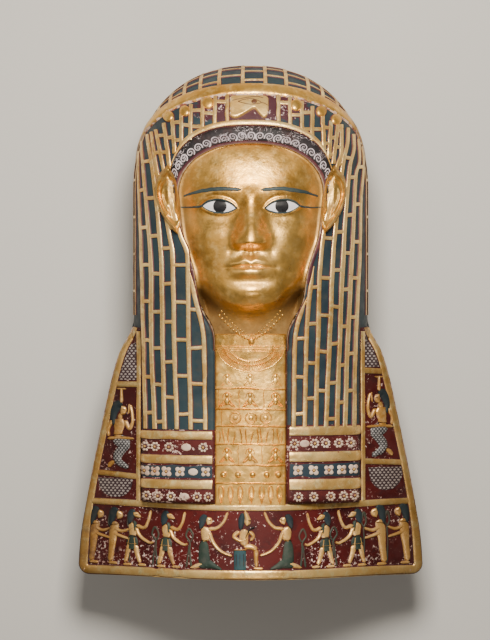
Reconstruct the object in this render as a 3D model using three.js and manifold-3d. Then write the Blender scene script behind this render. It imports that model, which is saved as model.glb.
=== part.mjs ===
import * as THREE from 'three';
import * as BufferGeometryUtils from 'three/addons/utils/BufferGeometryUtils.js';
import Module from 'manifold-3d';

const wasm = await Module();
wasm.setup();

// The mask lies on the back of its wig: +Z is the way the face looks, +Y runs to the crown, X runs across.

// Shell of the wig
const crownY = 256;
const templeY = 130;
const wigHalfWidth = 117.5;
const wigMidZ = 100;
const wigFrontZ = 190;
const lappetFrontZ = 172;
const sectionPower = 2.2;
const backPower = 2.5;
const backSink = 3;
const wallThickness = 5;
const napeY = -48;

// Chest plate
const hemY = -256;
const plateFrontZ = 168;
const plateArch = 3;
const plateShoulderDrop = 72;
const plateShoulderWidth = 112;
const plateSideDrop = 12;
const plateHalfWidth = 174;
const plateBlendTop = 20;
const plateBlendEnd = -45;
const cornerRadius = 13;
const cornerLevels = [0, 0.12, 0.35, 0.65];

// Face opening in the wig
const openingHalfWidth = 73;
const openingMidY = 125;
const hairlineRise = 50;
const jawOpeningY = 50;
const jawOpeningHalfWidth = 57;
const neckOpeningY = 16;
const neckOpeningHalfWidth = 51;
const lappetInnerX = 36;
const openingFloorZ = 120;

// Face, set out in head units from the chin
const chinY = 17;
const headUnit = 54;
const browY = chinY + 2 * headUnit;
const noseBaseY = chinY + headUnit;
const eyeY = chinY + 1.75 * headUnit;
const mouthY = noseBaseY - headUnit / 3;
const faceHalfWidth = 74;
const eyeSpread = 31;
const noseReach = 25;

// Ears
const earX = 82;
const earY = 119;
const earHalfWidth = 13.5;
const earHalfHeight = 35;
const earRimRise = 9;

// Fillet round the crown and the bands that frame the face
const filletSlope = 0.807;
const filletUpper = 111.3;
const filletLower = 89.9;
const filletRise = 2.5;
const curlBandRise = 67;
const curlBandHalfWidth = 81;
const curlBandLift = 3.5;
const thinBandRise = 73;
const thinBandHalfWidth = 84;
const thinBandLift = 2.5;

// Lappets
const lappetOuterX = 109.5;
const lappetHemY = -181;
const lappetTopY = 14;
const latticeEndY = -105;
const stripLift = 1.6;
const stripHalfWidth = 2.4;

const smooth = (low, high, value) => {
  const share = Math.min(Math.max((value - low) / (high - low), 0), 1);
  return share * share * (3 - 2 * share);
};
const mix = (low, high, share) => low + (high - low) * share;
const bell = (distance, spread) => Math.exp(-((distance / spread) ** 2));
const arc = (share, power) => (1 - Math.min(Math.abs(share), 1) ** power) ** (1 / power);

// Smooth curve of one value along another, through [position, value] stations in rising order
function through(stations) {
  const points = stations.map(([position, value]) => new THREE.Vector2(position, value));
  return (position) => {
    const last = points.length - 1;
    let index = 0;
    while (index < last - 1 && position > points[index + 1].x) {
      index += 1;
    }
    const start = points[index];
    const end = points[index + 1];
    const slopeAt = (k) => {
      const before = points[Math.max(k - 1, 0)];
      const after = points[Math.min(k + 1, last)];
      return (after.y - before.y) / (after.x - before.x);
    };
    const span = end.x - start.x;
    const t = Math.min(Math.max((position - start.x) / span, 0), 1);
    const rise = span * slopeAt(index) * (t ** 3 - 2 * t ** 2 + t);
    const fall = span * slopeAt(index + 1) * (t ** 3 - t ** 2);
    return start.y * (2 * t ** 3 - 3 * t ** 2 + 1) + end.y * (3 * t ** 2 - 2 * t ** 3) + rise + fall;
  };
}

// Outline of the chest plate: distance below the chin line against its part of the flare beyond the wig
const flareSteps = [[0, 0], [12, 4], [30, 14], [55, 22], [100, 32], [160, 44.5], [210, 53], [256, 56.5]];
const flareWhole = flareSteps.at(-1)[1];
const plateFlare = plateHalfWidth - wigHalfWidth;
const plateOutline = through(flareSteps.map(([below, spread]) =>
  [below, wigHalfWidth + plateFlare * spread / flareWhole]));

function crownShare(y) {
  return Math.max((y - templeY) / (crownY - templeY), 0);
}

function shellHalfWidth(y) {
  const corner = Math.max(cornerRadius - (y - hemY), 0);
  const rounding = cornerRadius - Math.sqrt(Math.max(cornerRadius ** 2 - corner ** 2, 0));
  return y < 0 ? plateOutline(-y) - rounding : wigHalfWidth * arc(crownShare(y), sectionPower);
}

function wigFront(x, y) {
  const front = mix(lappetFrontZ, wigFrontZ, smooth(-90, 70, y));
  const halfWidth = y < templeY ? wigHalfWidth : shellHalfWidth(y);
  const height = wigMidZ + (front - wigMidZ) * arc(crownShare(y), sectionPower);
  return wigMidZ + (height - wigMidZ) * arc(x / Math.max(halfWidth, 0.001), sectionPower);
}

function plateFront(x, y) {
  const middle = plateFrontZ - plateArch * ((y + 120) / 136) ** 2;
  const shoulder = plateShoulderDrop * (1 - Math.exp(-(Math.abs(x / plateShoulderWidth) ** 2.4)));
  return middle - shoulder - plateSideDrop * (x / plateHalfWidth) ** 2;
}

function shellFront(x, y) {
  return mix(wigFront(x, y), plateFront(x, y), smooth(plateBlendTop, plateBlendEnd, y));
}

function toManifold(geometry) {
  geometry.deleteAttribute('normal');
  geometry.deleteAttribute('uv');
  const merged = BufferGeometryUtils.mergeVertices(geometry, 1e-4);
  return new wasm.Manifold(new wasm.Mesh({
    numProp: 3,
    vertProperties: merged.attributes.position.array,
    triVerts: new Uint32Array(merged.index.array),
  }));
}

// Closed body from points and triangles, turned right side out when the pattern ran the other way
function solidFrom(points, triangles) {
  let sixVolumes = 0;
  for (let k = 0; k < triangles.length; k += 3) {
    const [a, b, c] = [points[triangles[k]], points[triangles[k + 1]], points[triangles[k + 2]]];
    sixVolumes += a.dot(b.clone().cross(c));
  }
  if (sixVolumes < 0) {
    triangles.reverse();
  }
  const geometry = new THREE.BufferGeometry();
  geometry.setAttribute('position', new THREE.Float32BufferAttribute(points.flatMap((p) => p.toArray()), 3));
  geometry.setIndex(triangles);
  return toManifold(geometry);
}

// Closed block between an upper and a lower sheet of the same rows and columns
function sheetSolid(rows, columns, upper, lower) {
  const points = [];
  const triangles = [];
  for (const sheet of [upper, lower]) {
    for (let row = 0; row <= rows; row += 1) {
      for (let column = 0; column <= columns; column += 1) {
        points.push(sheet(column / columns, row / rows, column, row));
      }
    }
  }
  const count = (rows + 1) * (columns + 1);
  const at = (row, column) => row * (columns + 1) + column;
  for (let row = 0; row < rows; row += 1) {
    for (let column = 0; column < columns; column += 1) {
      const a = at(row, column);
      const b = at(row, column + 1);
      const c = at(row + 1, column + 1);
      const d = at(row + 1, column);
      triangles.push(a, b, c, a, c, d);
      triangles.push(count + a, count + c, count + b, count + a, count + d, count + c);
    }
  }
  const wall = (a, b) => triangles.push(a, count + b, b, a, count + a, count + b);
  for (let column = 0; column < columns; column += 1) {
    wall(at(0, column), at(0, column + 1));
    wall(at(rows, column + 1), at(rows, column));
  }
  for (let row = 0; row < rows; row += 1) {
    wall(at(row + 1, 0), at(row, 0));
    wall(at(row, columns), at(row + 1, columns));
  }
  return solidFrom(points, triangles);
}

// Closed body through rings of equal count, with a middle point at each end
function ringSolid(rings, around, ringPoint, endPoints) {
  const points = [];
  const triangles = [];
  for (let ring = 0; ring < rings; ring += 1) {
    for (let step = 0; step < around; step += 1) {
      points.push(ringPoint(ring, (step / around) * 2 * Math.PI));
    }
  }
  points.push(...endPoints);
  const at = (ring, step) => ring * around + (step % around);
  for (let ring = 0; ring < rings - 1; ring += 1) {
    for (let step = 0; step < around; step += 1) {
      triangles.push(at(ring, step), at(ring, step + 1), at(ring + 1, step + 1));
      triangles.push(at(ring, step), at(ring + 1, step + 1), at(ring + 1, step));
    }
  }
  for (let step = 0; step < around; step += 1) {
    triangles.push(points.length - 2, at(0, step + 1), at(0, step));
    triangles.push(points.length - 1, at(rings - 1, step), at(rings - 1, step + 1));
  }
  return solidFrom(points, triangles);
}

// Body of the wig and chest plate as a closed form, drawn in by inset on every side
function shellBody(inset, lift, levels, around) {
  const lowY = hemY - (inset > 0 ? 8 : 0);
  const highY = crownY - inset + lift;
  const levelY = inset > 0 ? [lowY] : cornerLevels.map((share) => hemY + share * cornerRadius);
  const bodyStart = hemY + cornerRadius;
  const plainLevels = Math.round(levels * 0.6);
  for (let level = 0; level < plainLevels; level += 1) {
    levelY.push(mix(bodyStart, templeY, level / plainLevels));
  }
  for (let level = 0; level < levels - plainLevels; level += 1) {
    const turn = (level / (levels - plainLevels)) * (Math.PI / 2);
    levelY.push(templeY + (highY - templeY) * Math.sin(turn));
  }
  const scaleY = (crownY - templeY) / (highY - templeY);
  const ringPoint = (level, angle) => {
    const y = levelY[level];
    const bodyY = y > templeY ? templeY + (y - templeY) * scaleY : Math.max(y, hemY);
    const cornerFree = inset > 0 ? Math.max(bodyY, hemY + cornerRadius) : bodyY;
    const outerHalf = shellHalfWidth(cornerFree);
    const half = Math.max(outerHalf * (1 - (inset - lift) / wigHalfWidth), 0.01);
    const side = Math.cos(angle);
    const x = half * side;
    const outerX = outerHalf * side;
    if (Math.sin(angle) <= 0) {
      const depth = (wigMidZ + lift + (inset > 0 ? -inset : backSink)) * arc(crownShare(bodyY), backPower);
      return new THREE.Vector3(x, y, edgeOf(bodyY, outerHalf) - depth * arc(side, backPower));
    }
    const z = shellFront(outerX, bodyY);
    const edge = edgeOf(bodyY, outerHalf);
    const frontShare = 1 - (inset - lift) / (wigFrontZ - wigMidZ);
    const flat = smooth(plateBlendTop, plateBlendEnd, bodyY);
    return new THREE.Vector3(x, y, mix(edge + (z - edge) * frontShare, z - inset + lift, flat));
  };
  const capZ = wigMidZ;
  return ringSolid(levelY.length, around, ringPoint, [new THREE.Vector3(0, lowY, capZ),
    new THREE.Vector3(0, highY, capZ)]);
}

function edgeOf(y, half) {
  return mix(wigMidZ, shellFront(half, y), smooth(plateBlendTop, plateBlendEnd, y));
}

// Face: mass, then features added as rises and hollows in named places
const faceMiddle = through([[-40, 161], [-14, 165], [-2, 168], [6, 175], [12, 185], [chinY, 192], [30, 197.5],
  [50, 197], [noseBaseY, 197], [100, 196], [browY, 197], [150, 191], [165, 185], [180, 176]]);
const faceWidth = through([[-40, 60], [-10, 52], [2, 48], [chinY, 47], [33, 56], [mouthY, 64],
  [noseBaseY, 70], [eyeY, faceHalfWidth], [150, faceHalfWidth], [180, 66]]);
const faceSideDrop = through([[-40, 6], [-5, 14], [chinY, 32], [mouthY, 38], [eyeY, 38], [180, 22]]);
const jawRise = 15;
const throatSideZ = 138;
const throatSoftness = 10;

// How much the line under the chin rises toward the sides
function jawShift(side, y) {
  return jawRise * Math.min(side / 46, 1.2) ** 2.4 * (1 - smooth(22, 64, y));
}

function faceFront(x, y) {
  const side = Math.abs(x);
  const share = side / faceWidth(y);
  const edge = Math.max(share - 1, 0);
  let z = faceMiddle(y - jawShift(side, y)) - faceSideDrop(y) * Math.min(share, 1.3) ** 2.5 - 30 * edge ** 2;
  const bridge = smooth(eyeY + 12, noseBaseY + 6, y);
  const underNose = smooth(noseBaseY - 3, noseBaseY + 7, y);
  const noseWidth = mix(9, 13.5, bridge);
  z += noseReach * mix(0.2, 1, bridge) * smooth(browY + 10, browY - 8, y) * underNose
    * Math.exp(-((side / noseWidth) ** 2.5));
  z += 7.5 * bell(side - 14, 6) * bell(y - noseBaseY - 7, 7.5) * underNose;
  z -= 7 * bell(side - eyeSpread + 2, 17) * bell(y - eyeY + 1, 13);
  z += 5.5 * bell(side - eyeSpread, 15) * bell(y - eyeY, 9);
  z += 2.2 * bell(side - eyeSpread + 2, 21) * bell(y - browY - 3 + 0.004 * (side - 30) ** 2, 6);
  z += 3.5 * bell(side - 42, 19) * bell(y - noseBaseY - 12, 18);
  z += 4.2 * bell(side, 22) * bell(y - mouthY, 15);
  z += 3.4 * Math.exp(-((side / 21) ** 3)) * bell(y - mouthY - 5 + 0.005 * side ** 2, 4.4);
  z += 3.9 * Math.exp(-((side / 17) ** 3)) * bell(y - mouthY + 5.5, 5);
  z -= 2.6 * Math.exp(-((side / 23) ** 6)) * bell(y - mouthY, 1.9);
  z -= 2.2 * Math.exp(-((side / 20) ** 4)) * bell(y - mouthY + 14, 5);
  z += 3 * bell(side, 17) * bell(y - chinY - 10, 9);
  z -= 1.2 * bell(side, 3.5) * bell(y - mouthY - 12, 5);
  // Beside the throat the skin levels out instead of sinking on
  const levelStart = throatSideZ + throatSoftness;
  return z > levelStart ? z : throatSideZ + throatSoftness * Math.exp((z - levelStart) / throatSoftness);
}

const openingHalf = through([[-60, lappetInnerX], [-30, lappetInnerX], [-9, 38],
  [neckOpeningY, neckOpeningHalfWidth], [jawOpeningY, jawOpeningHalfWidth], [85, 68],
  [openingMidY, openingHalfWidth]]);

function openingAt(y) {
  return y < openingMidY ? openingHalf(y)
    : openingHalfWidth * arc((y - openingMidY) / hairlineRise, sectionPower);
}

function openingShape(spread) {
  const shape = new THREE.Shape();
  const lowY = -30;
  const highY = openingMidY + hairlineRise + spread;
  const steps = 26;
  const right = [];
  for (let step = 0; step <= steps; step += 1) {
    const y = mix(lowY, highY, Math.sin((step / steps) * (Math.PI / 2)));
    const risen = openingMidY + (y - openingMidY) * (hairlineRise / (hairlineRise + spread));
    const scale = y < openingMidY ? y : risen;
    right.push(new THREE.Vector2(openingAt(scale) + (step < steps ? spread : 0), y));
  }
  const left = right.slice(0, -1).reverse().map((point) => new THREE.Vector2(-point.x, point.y));
  shape.setFromPoints([...right, ...left]);
  return shape;
}

function prism(shape, lowZ, highZ) {
  const settings = { depth: highZ - lowZ, bevelEnabled: false, curveSegments: 8 };
  const geometry = new THREE.ExtrudeGeometry(shape, settings);
  geometry.translate(0, 0, lowZ);
  return toManifold(geometry);
}

// Height of the hollow behind the face, kept a wall away from the front on every side
function faceHollow(x, y) {
  let z = faceFront(x, y) - wallThickness;
  for (let step = 0; step < 8; step += 1) {
    const angle = (step / 4) * Math.PI;
    const aside = faceFront(x + wallThickness * Math.cos(angle), y + wallThickness * Math.sin(angle));
    z = Math.min(z, aside - wallThickness * 0.35);
  }
  return z;
}

// Block within the face opening, between two heights that are numbers or functions of the place
function openingBlock(upper, lower, reach, acrossShares, rowsY) {
  const heightOf = (height, { x, y }) => (typeof height === 'number' ? height : height(x, y));
  const sheet = (height) => (across, along, column, row) => {
    const half = openingAt(Math.min(rowsY[row], openingMidY + hairlineRise - 3)) + reach;
    const spot = new THREE.Vector2(half * acrossShares[column], rowsY[row]);
    return new THREE.Vector3(spot.x, spot.y, heightOf(height, spot));
  };
  return sheetSolid(rowsY.length - 1, acrossShares.length - 1, sheet(upper), sheet(lower));
}

// Rows and columns of the face lie closer together at its features
const faceRows = [-38, -14, -2, 7, 13, 20, 30, 38, 44, 48, mouthY, 58, 65, noseBaseY, 76,
  84, 94, 102, 107, eyeY, 116, 121, 128, 136, 156, 178];
const mirrored = (shares) => [...shares.map((share) => -share).reverse().slice(0, -1), ...shares];
const faceColumns = mirrored([0, 0.07, 0.14, 0.21, 0.29, 0.37, 0.46, 0.55, 0.67, 0.83, 1]);
const hollowRows = [-42, -8, 4, 14, 26, 46, 66, 78, 96, 118, 145, 165, 184];
const hollowColumns = mirrored([0, 0.13, 0.3, 0.55, 0.8, 1]);

function ear(side) {
  const around = 20;
  const across = 5;
  const lift = (radius, angle) => {
    const lobe = smooth(-0.45, -0.9, Math.sin(angle) * radius);
    const rim = earRimRise * bell(radius - 0.82, 0.2);
    const inner = 4.5 * bell(radius - 0.42, 0.16) * smooth(-0.9, 0.2, Math.cos(angle));
    return mix(rim + inner + 1.5, 8, lobe * 0.8) - 7 * smooth(0.93, 1, radius);
  };
  const place = (radius, angle) => {
    const down = smooth(0.2, -1, Math.sin(angle));
    const x = earX + earHalfWidth * (1 - 0.3 * down) * radius * Math.cos(angle) - 3 * down * radius;
    const y = earY + earHalfHeight * radius * Math.sin(angle);
    return new THREE.Vector2(x * side, y);
  };
  const rings = [];
  for (let ring = 1; ring <= across; ring += 1) {
    rings.push(Math.sqrt(ring / across));
  }
  const point = (ring, angle) => {
    const radius = ring < across ? rings[ring] : 1;
    const spot = place(radius, angle * side);
    const base = wigFront(spot.x, spot.y);
    return new THREE.Vector3(spot.x, spot.y, ring < across ? base + lift(radius, angle) : base - 6);
  };
  const middle = place(0, 0);
  const middleZ = wigFront(middle.x, middle.y);
  return ringSolid(across + 1, around, (ring, angle) => point(ring, -angle), [
    new THREE.Vector3(middle.x, middle.y, middleZ + 2),
    new THREE.Vector3(middle.x, middle.y, middleZ - 6),
  ]);
}

// Band lying on a surface between two lines given by a share along them
function band(inner, outer, surface, lift, steps, across = 1) {
  const upper = (acrossShare, alongShare) => {
    const spot = inner(alongShare).lerp(outer(alongShare), acrossShare);
    return new THREE.Vector3(spot.x, spot.y, surface(spot.x, spot.y) + lift);
  };
  const lower = (acrossShare, alongShare) => {
    const spot = inner(alongShare).lerp(outer(alongShare), acrossShare);
    return new THREE.Vector3(spot.x, spot.y, surface(spot.x, spot.y) - 3);
  };
  return sheetSolid(steps, across, upper, lower);
}

// Arch that frames the face, from ear to ear
function framingArch(halfWidth, rise, power) {
  return (share) => {
    const angle = mix(-Math.PI / 2, Math.PI / 2, share);
    const x = halfWidth * Math.sign(angle) * Math.abs(Math.sin(angle)) ** (2 / power);
    return new THREE.Vector2(x, openingMidY + rise * Math.abs(Math.cos(angle)) ** (2 / power));
  };
}

function bar(startX, startY, endX, endY, halfWidth, surface, lift, steps = 1) {
  const start = new THREE.Vector2(startX, startY);
  const end = new THREE.Vector2(endX, endY);
  const offset = end.clone().sub(start).normalize().rotateAround(new THREE.Vector2(), Math.PI / 2)
    .multiplyScalar(halfWidth);
  return band((share) => start.clone().lerp(end, share).add(offset),
    (share) => start.clone().lerp(end, share).sub(offset), surface, lift, steps);
}

function disc(x, y, radius, surface, lift, around = 10) {
  const spot = (scale, angle) => new THREE.Vector2(x + radius * scale * Math.cos(angle),
    y + radius * scale * Math.sin(angle));
  const levels = [[0.8, lift * 0.8], [1, -2.5]];
  return ringSolid(levels.length, around, (ring, angle) => {
    const p = spot(levels[ring][0], -angle);
    return new THREE.Vector3(p.x, p.y, surface(p.x, p.y) + levels[ring][1]);
  }, [new THREE.Vector3(x, y, surface(x, y) + lift), new THREE.Vector3(x, y, surface(x, y) - 2.5)]);
}

// Lappet: a thick rolled slab over the chest plate, with gold strips standing up between the hair cells
function lappet(side, stripX, latticeEnd) {
  const hemRoll = 7;
  const columns = [lappetInnerX];
  for (const x of stripX) {
    columns.push(x - stripHalfWidth - 0.5, x - stripHalfWidth, x + stripHalfWidth, x + stripHalfWidth + 0.5);
  }
  columns.push(lappetOuterX - 2.5, lappetOuterX);
  const raised = (column) => column % 4 === 2 || column % 4 === 3;
  const rows = [lappetHemY, lappetHemY + 2, lappetHemY + hemRoll, latticeEnd, latticeEnd + 0.5,
    -60, -20, lappetTopY];
  return sheetSolid(rows.length - 1, columns.length - 1, (across, along, column, row) => {
    const x = columns[column];
    const y = rows[row];
    const roll = hemRoll * (1 - arc(Math.max((lappetHemY + hemRoll - y) / hemRoll, 0), 2));
    const edge = column === 0 || column === columns.length - 1 ? 3.5 : 0;
    const strip = y > latticeEnd && column < columns.length - 2 && raised(column) ? stripLift : 0;
    return new THREE.Vector3(x * side, y, wigFront(x, y) - roll - edge + strip);
  }, (across, along, column, row) => {
    const x = columns[column];
    const ground = Math.min(shellFront(x, rows[row]), wigFront(x, rows[row]));
    return new THREE.Vector3(x * side, rows[row], ground - 4);
  });
}

// Strip of the hair lattice on the wig's side, from the fillet down to the lappet
function sideStrip(side, stations, steps) {
  const line = through(stations);
  const first = stations[0][0];
  const last = stations[stations.length - 1][0];
  const spot = (share, shift) => {
    const y = mix(first, last, share);
    return new THREE.Vector2((line(y) + shift) * side, y);
  };
  return band((share) => spot(share, -stripHalfWidth), (share) => spot(share, stripHalfWidth),
    wigFront, stripLift, steps);
}

// Relief piece: a flat outline laid on the curved surface
function relief(corners, surface, lift) {
  const geometry = new THREE.ExtrudeGeometry(new THREE.Shape(corners), { depth: 1, bevelEnabled: false });
  const position = geometry.attributes.position;
  for (let k = 0; k < position.count; k += 1) {
    const rise = position.getZ(k) > 0.5 ? lift : -2.5;
    position.setZ(k, surface(position.getX(k), position.getY(k)) + rise);
  }
  return toManifold(geometry);
}

// Figures are put together from tapered limbs and round heads, in shares of their height
const limb = (x1, y1, w1, x2, y2, w2, lift) => {
  const start = new THREE.Vector2(x1, y1);
  const end = new THREE.Vector2(x2, y2);
  const offset = end.clone().sub(start).normalize().rotateAround(new THREE.Vector2(), Math.PI / 2);
  const corner = (base, width) => base.clone().addScaledVector(offset, width / 2);
  return { lift, corners: [corner(start, -w1), corner(end, -w2), corner(end, w2), corner(start, w1)] };
};
const round = (x, y, rx, ry, lift) => ({
  lift,
  corners: Array.from({ length: 6 }, (unused, k) => new THREE.Vector2(
    x + rx * Math.cos(((k + 0.5) / 3) * Math.PI),
    y + ry * Math.sin(((k + 0.5) / 3) * Math.PI),
  )),
});

const wrappedFigure = [
  limb(0, 0, 0.24, 0.01, 0.74, 0.27, 2.2),
  limb(0.02, 0.62, 0.09, 0.28, 0.64, 0.08, 1.7),
  round(0.02, 0.86, 0.1, 0.13, 2.7),
];
const stridingFigure = [
  limb(-0.05, 0.38, 0.13, -0.15, 0, 0.12, 1.6),
  limb(0.04, 0.38, 0.13, 0.14, 0, 0.12, 2.1),
  limb(0, 0.28, 0.27, 0, 0.75, 0.25, 2.7),
  limb(0.08, 0.7, 0.09, 0.33, 0.9, 0.07, 2.2),
  limb(-0.1, 0.7, 0.09, 0.28, 0.44, 0.07, 3.3),
  round(0.02, 0.88, 0.1, 0.12, 2),
];
const kneelingFigure = [
  limb(-0.34, 0.06, 0.11, 0.26, 0.04, 0.13, 1.6),
  limb(-0.28, 0.14, 0.2, 0.24, 0.32, 0.28, 2.2),
  limb(-0.18, 0.2, 0.26, -0.08, 0.72, 0.26, 2.8),
  limb(0, 0.66, 0.09, 0.36, 0.9, 0.07, 2.3),
  limb(0, 0.6, 0.09, 0.44, 0.36, 0.07, 3.4),
  round(-0.05, 0.85, 0.11, 0.13, 2.1),
];
const seatedFigure = [
  limb(-0.16, 0, 0.2, -0.16, 0.34, 0.2, 1.6),
  limb(-0.2, 0.36, 0.15, 0.17, 0.38, 0.15, 2.1),
  limb(0.14, 0.42, 0.15, 0.18, 0.02, 0.12, 2.7),
  limb(-0.05, 0.4, 0.22, -0.02, 0.72, 0.28, 3.2),
  round(0, 0.87, 0.11, 0.14, 2.4),
];

function figure(parts, x, y, height, facing) {
  return parts.map(({ corners, lift }) => {
    const placed = corners.map((corner) => new THREE.Vector2(x + corner.x * height * facing,
      y + corner.y * height));
    return relief(facing > 0 ? placed : placed.reverse(), shellFront, lift);
  });
}

// Part of the shell's skin between two tilted planes, raised by a lift
function ringBand(upperOffset, lowerOffset, slope, lift) {
  const reach = 400;
  const corners = [[-60, upperOffset], [-60, lowerOffset], [reach, lowerOffset], [reach, upperOffset]]
    .map(([z, offset]) => new THREE.Vector2(offset + slope * z, z));
  const geometry = new THREE.ExtrudeGeometry(new THREE.Shape(corners), { depth: reach, bevelEnabled: false });
  geometry.translate(0, 0, -reach / 2);
  geometry.applyMatrix4(new THREE.Matrix4().set(0, 0, 1, 0, 1, 0, 0, 0, 0, 1, 0, 0, 0, 0, 0, 1));
  return shellBody(0, lift, 22, 36).intersect(toManifold(geometry));
}

const pieces = [];

// Face, ears and lappets
pieces.push(openingBlock(faceFront, openingFloorZ, 4, faceColumns, faceRows), ear(1), ear(-1));
const leftStripX = [44.8, 59.1, 73.2, 85.4, 96];
const rightStripX = [42, 53, 64, 74, 85, 96];
const rightBandShift = 5;
pieces.push(lappet(-1, leftStripX, latticeEndY), lappet(1, rightStripX, latticeEndY + rightBandShift));

// Hem bands of each lappet
const lappetBars = [[-113, 5], [-137, 5.2], [-161.5, 5.5]];
for (const side of [-1, 1]) {
  for (const [barY, halfWidth] of lappetBars) {
    const y = barY + (side > 0 ? rightBandShift : 0);
    const ends = [side * (lappetInnerX + 0.8), side * (lappetOuterX - 0.8)];
    pieces.push(bar(ends[0], y, ends[1], y, halfWidth, wigFront, 1.5, 5));
  }
}

// Fillet, framing bands, plaque and discs over the brow
pieces.push(ringBand(filletUpper, filletLower, filletSlope, filletRise));
pieces.push(band(framingArch(openingHalfWidth, hairlineRise, sectionPower),
  framingArch(curlBandHalfWidth, curlBandRise, 2.6), wigFront, curlBandLift, 20));
pieces.push(band(framingArch(curlBandHalfWidth - 0.5, curlBandRise - 0.5, 2.6),
  framingArch(thinBandHalfWidth, thinBandRise, 2.6), wigFront, thinBandLift, 20));
const plaqueHalfWidth = 20;
const plaqueTopY = 222;
const plaqueHeight = 23;
const plaqueFootY = plaqueTopY - plaqueHeight;
const plaqueHalf = [[6, plaqueFootY], [plaqueHalfWidth, plaqueFootY], [plaqueHalfWidth + 1, plaqueTopY]];
pieces.push(relief([[0, plaqueFootY + 5], ...plaqueHalf, ...plaqueHalf.map(([x, y]) => [-x, y]).reverse()]
  .map(([x, y]) => new THREE.Vector2(x, y)), wigFront, 3.5));
const browDiscs = [[-81.3, 202.8], [-64.9, 207.4], [-42, 215.1], [44.5, 212.8], [69.3, 207.4], [84.3, 199.8]];
for (const [x, y] of browDiscs) {
  pieces.push(disc(x, y, 5.5, wigFront, 3));
}

// Strips of the hair lattice on the wig's sides
const sideLines = [
  [[14, 96], [60, 99], [90, 101], [130, 98], [165, 88], [187, 81]],
  [[14, 106], [60, 108], [90, 109], [130, 107], [165, 97.5], [187, 91]],
];
for (const side of [-1, 1]) {
  for (const stations of sideLines) {
    pieces.push(sideStrip(side, stations, 8));
  }
}

// Breast panel between the lappets: slab, collar, discs, bosses, ridges and drops
const panelHalfWidth = 34.5;
const panelTopY = -24;
const panelHemY = -180;
pieces.push(bar(0, panelTopY, 0, panelHemY, panelHalfWidth, shellFront, 2, 8));
for (const y of [-68, -88, -104, -122, -143, -161]) {
  pieces.push(bar(-panelHalfWidth + 1, y, panelHalfWidth - 1, y, 0.9, shellFront, 3.2));
}
for (const x of [-15.3, -0.2, 14.4]) {
  pieces.push(disc(x, -96, 5, shellFront, 4.2));
}
for (const x of [-27, -12, 2, 16, 26.5]) {
  pieces.push(disc(x, -151, 3.2, shellFront, 4, 8));
}
const petalFootY = -179;
const petalTopY = -166;
for (const x of [-29, -20, -10, 1, 11, 19, 28]) {
  pieces.push(relief([[x - 2.4, petalFootY], [x + 2.4, petalFootY], [x + 1, petalTopY], [x - 1, petalTopY]]
    .map(([px, py]) => new THREE.Vector2(px, py)), shellFront, 3.4));
}
for (const [inner, outer] of [[10, 14], [18, 22], [26, 30]]) {
  const swag = (reach) => (share) => new THREE.Vector2(reach * Math.sin(mix(-1.35, 1.35, share)),
    -24 - (reach + 6) * Math.cos(mix(-1.35, 1.35, share)));
  pieces.push(band(swag(outer), swag(inner), shellFront, 3.2, 8));
}

// Gold bars and borders of the chest plate
const barRise = 1.6;
const hemBarHalf = 4.6;
const hemBarY = hemY + 6.5;
const hemBarReach = plateHalfWidth - 8;
const registerBarY = -184;
const registerBarReach = plateHalfWidth - 11;
const borderFootY = hemY + 10;
const borderTopY = -20;
pieces.push(bar(-registerBarReach, registerBarY, registerBarReach, registerBarY, 4, shellFront, barRise, 12));
pieces.push(bar(-hemBarReach, hemBarY, hemBarReach, hemBarY, hemBarHalf, shellFront, barRise, 12));
for (const side of [-1, 1]) {
  const edgeLine = (shift) => (share) => {
    const y = mix(borderFootY, borderTopY, share);
    return new THREE.Vector2(side * (plateOutline(-y) - shift), y);
  };
  pieces.push(band(edgeLine(1.5), edgeLine(8.5), shellFront, barRise, 8));
  const shift = side > 0 ? 12 : 0;
  for (const [y, halfWidth, drop] of [[-63.5, 2.8, 0], [-153, 4, 3.5]]) {
    const outerX = plateOutline(-y - shift) - 5;
    pieces.push(bar(side * lappetOuterX, y + shift, side * outerX, y + shift - drop, halfWidth,
      shellFront, barRise, 3));
  }
}

// Figures: two kneeling ones on the sides, a row of them along the hem
pieces.push(...figure(kneelingFigure, -128, -146, 76, 1), ...figure(kneelingFigure, 130, -134, 76, -1));
const hemFigures = [
  [wrappedFigure, -154, 1], [wrappedFigure, -134, 1], [stridingFigure, -110, 1], [stridingFigure, -75, 1],
  [kneelingFigure, -38, 1], [seatedFigure, 2, 1], [kneelingFigure, 38, -1],
  [stridingFigure, 67, -1], [stridingFigure, 98, -1], [wrappedFigure, 129, -1], [wrappedFigure, 150, -1],
];
const hemFigureY = -244;
const hemFigureHeight = 49;
for (const [parts, x, facing] of hemFigures) {
  pieces.push(...figure(parts, x, hemFigureY, hemFigureHeight, facing));
}

// Everything under the shoulder line and behind the plate's edge is open
const cutReach = 60;
function openBack() {
  const corners = [[napeY, -cutReach], [napeY, 6], [napeY - 4, 30], [napeY - 14, 58], [napeY - 34, 82]];
  for (let y = -110; y > hemY - 40; y -= 30) {
    corners.push([y, shellFront(plateOutline(Math.min(-y, -hemY)), Math.max(y, hemY)) - wallThickness]);
  }
  corners.push([hemY - cutReach, 78], [hemY - cutReach, -cutReach]);
  const depth = 2 * (plateHalfWidth + cutReach);
  const outline = new THREE.Shape(corners.map(([y, z]) => new THREE.Vector2(y, z)));
  const geometry = new THREE.ExtrudeGeometry(outline, { depth, bevelEnabled: false });
  geometry.translate(0, 0, -depth / 2);
  geometry.applyMatrix4(new THREE.Matrix4().set(0, 0, 1, 0, 1, 0, 0, 0, 0, 1, 0, 0, 0, 0, 0, 1));
  return toManifold(geometry);
}

function floorCut() {
  const x = plateHalfWidth + cutReach;
  const y = crownY + cutReach;
  return prism(new THREE.Shape([[-x, -y], [x, -y], [x, y], [-x, y]]
    .map(([px, py]) => new THREE.Vector2(px, py))), -cutReach, 0);
}

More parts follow.
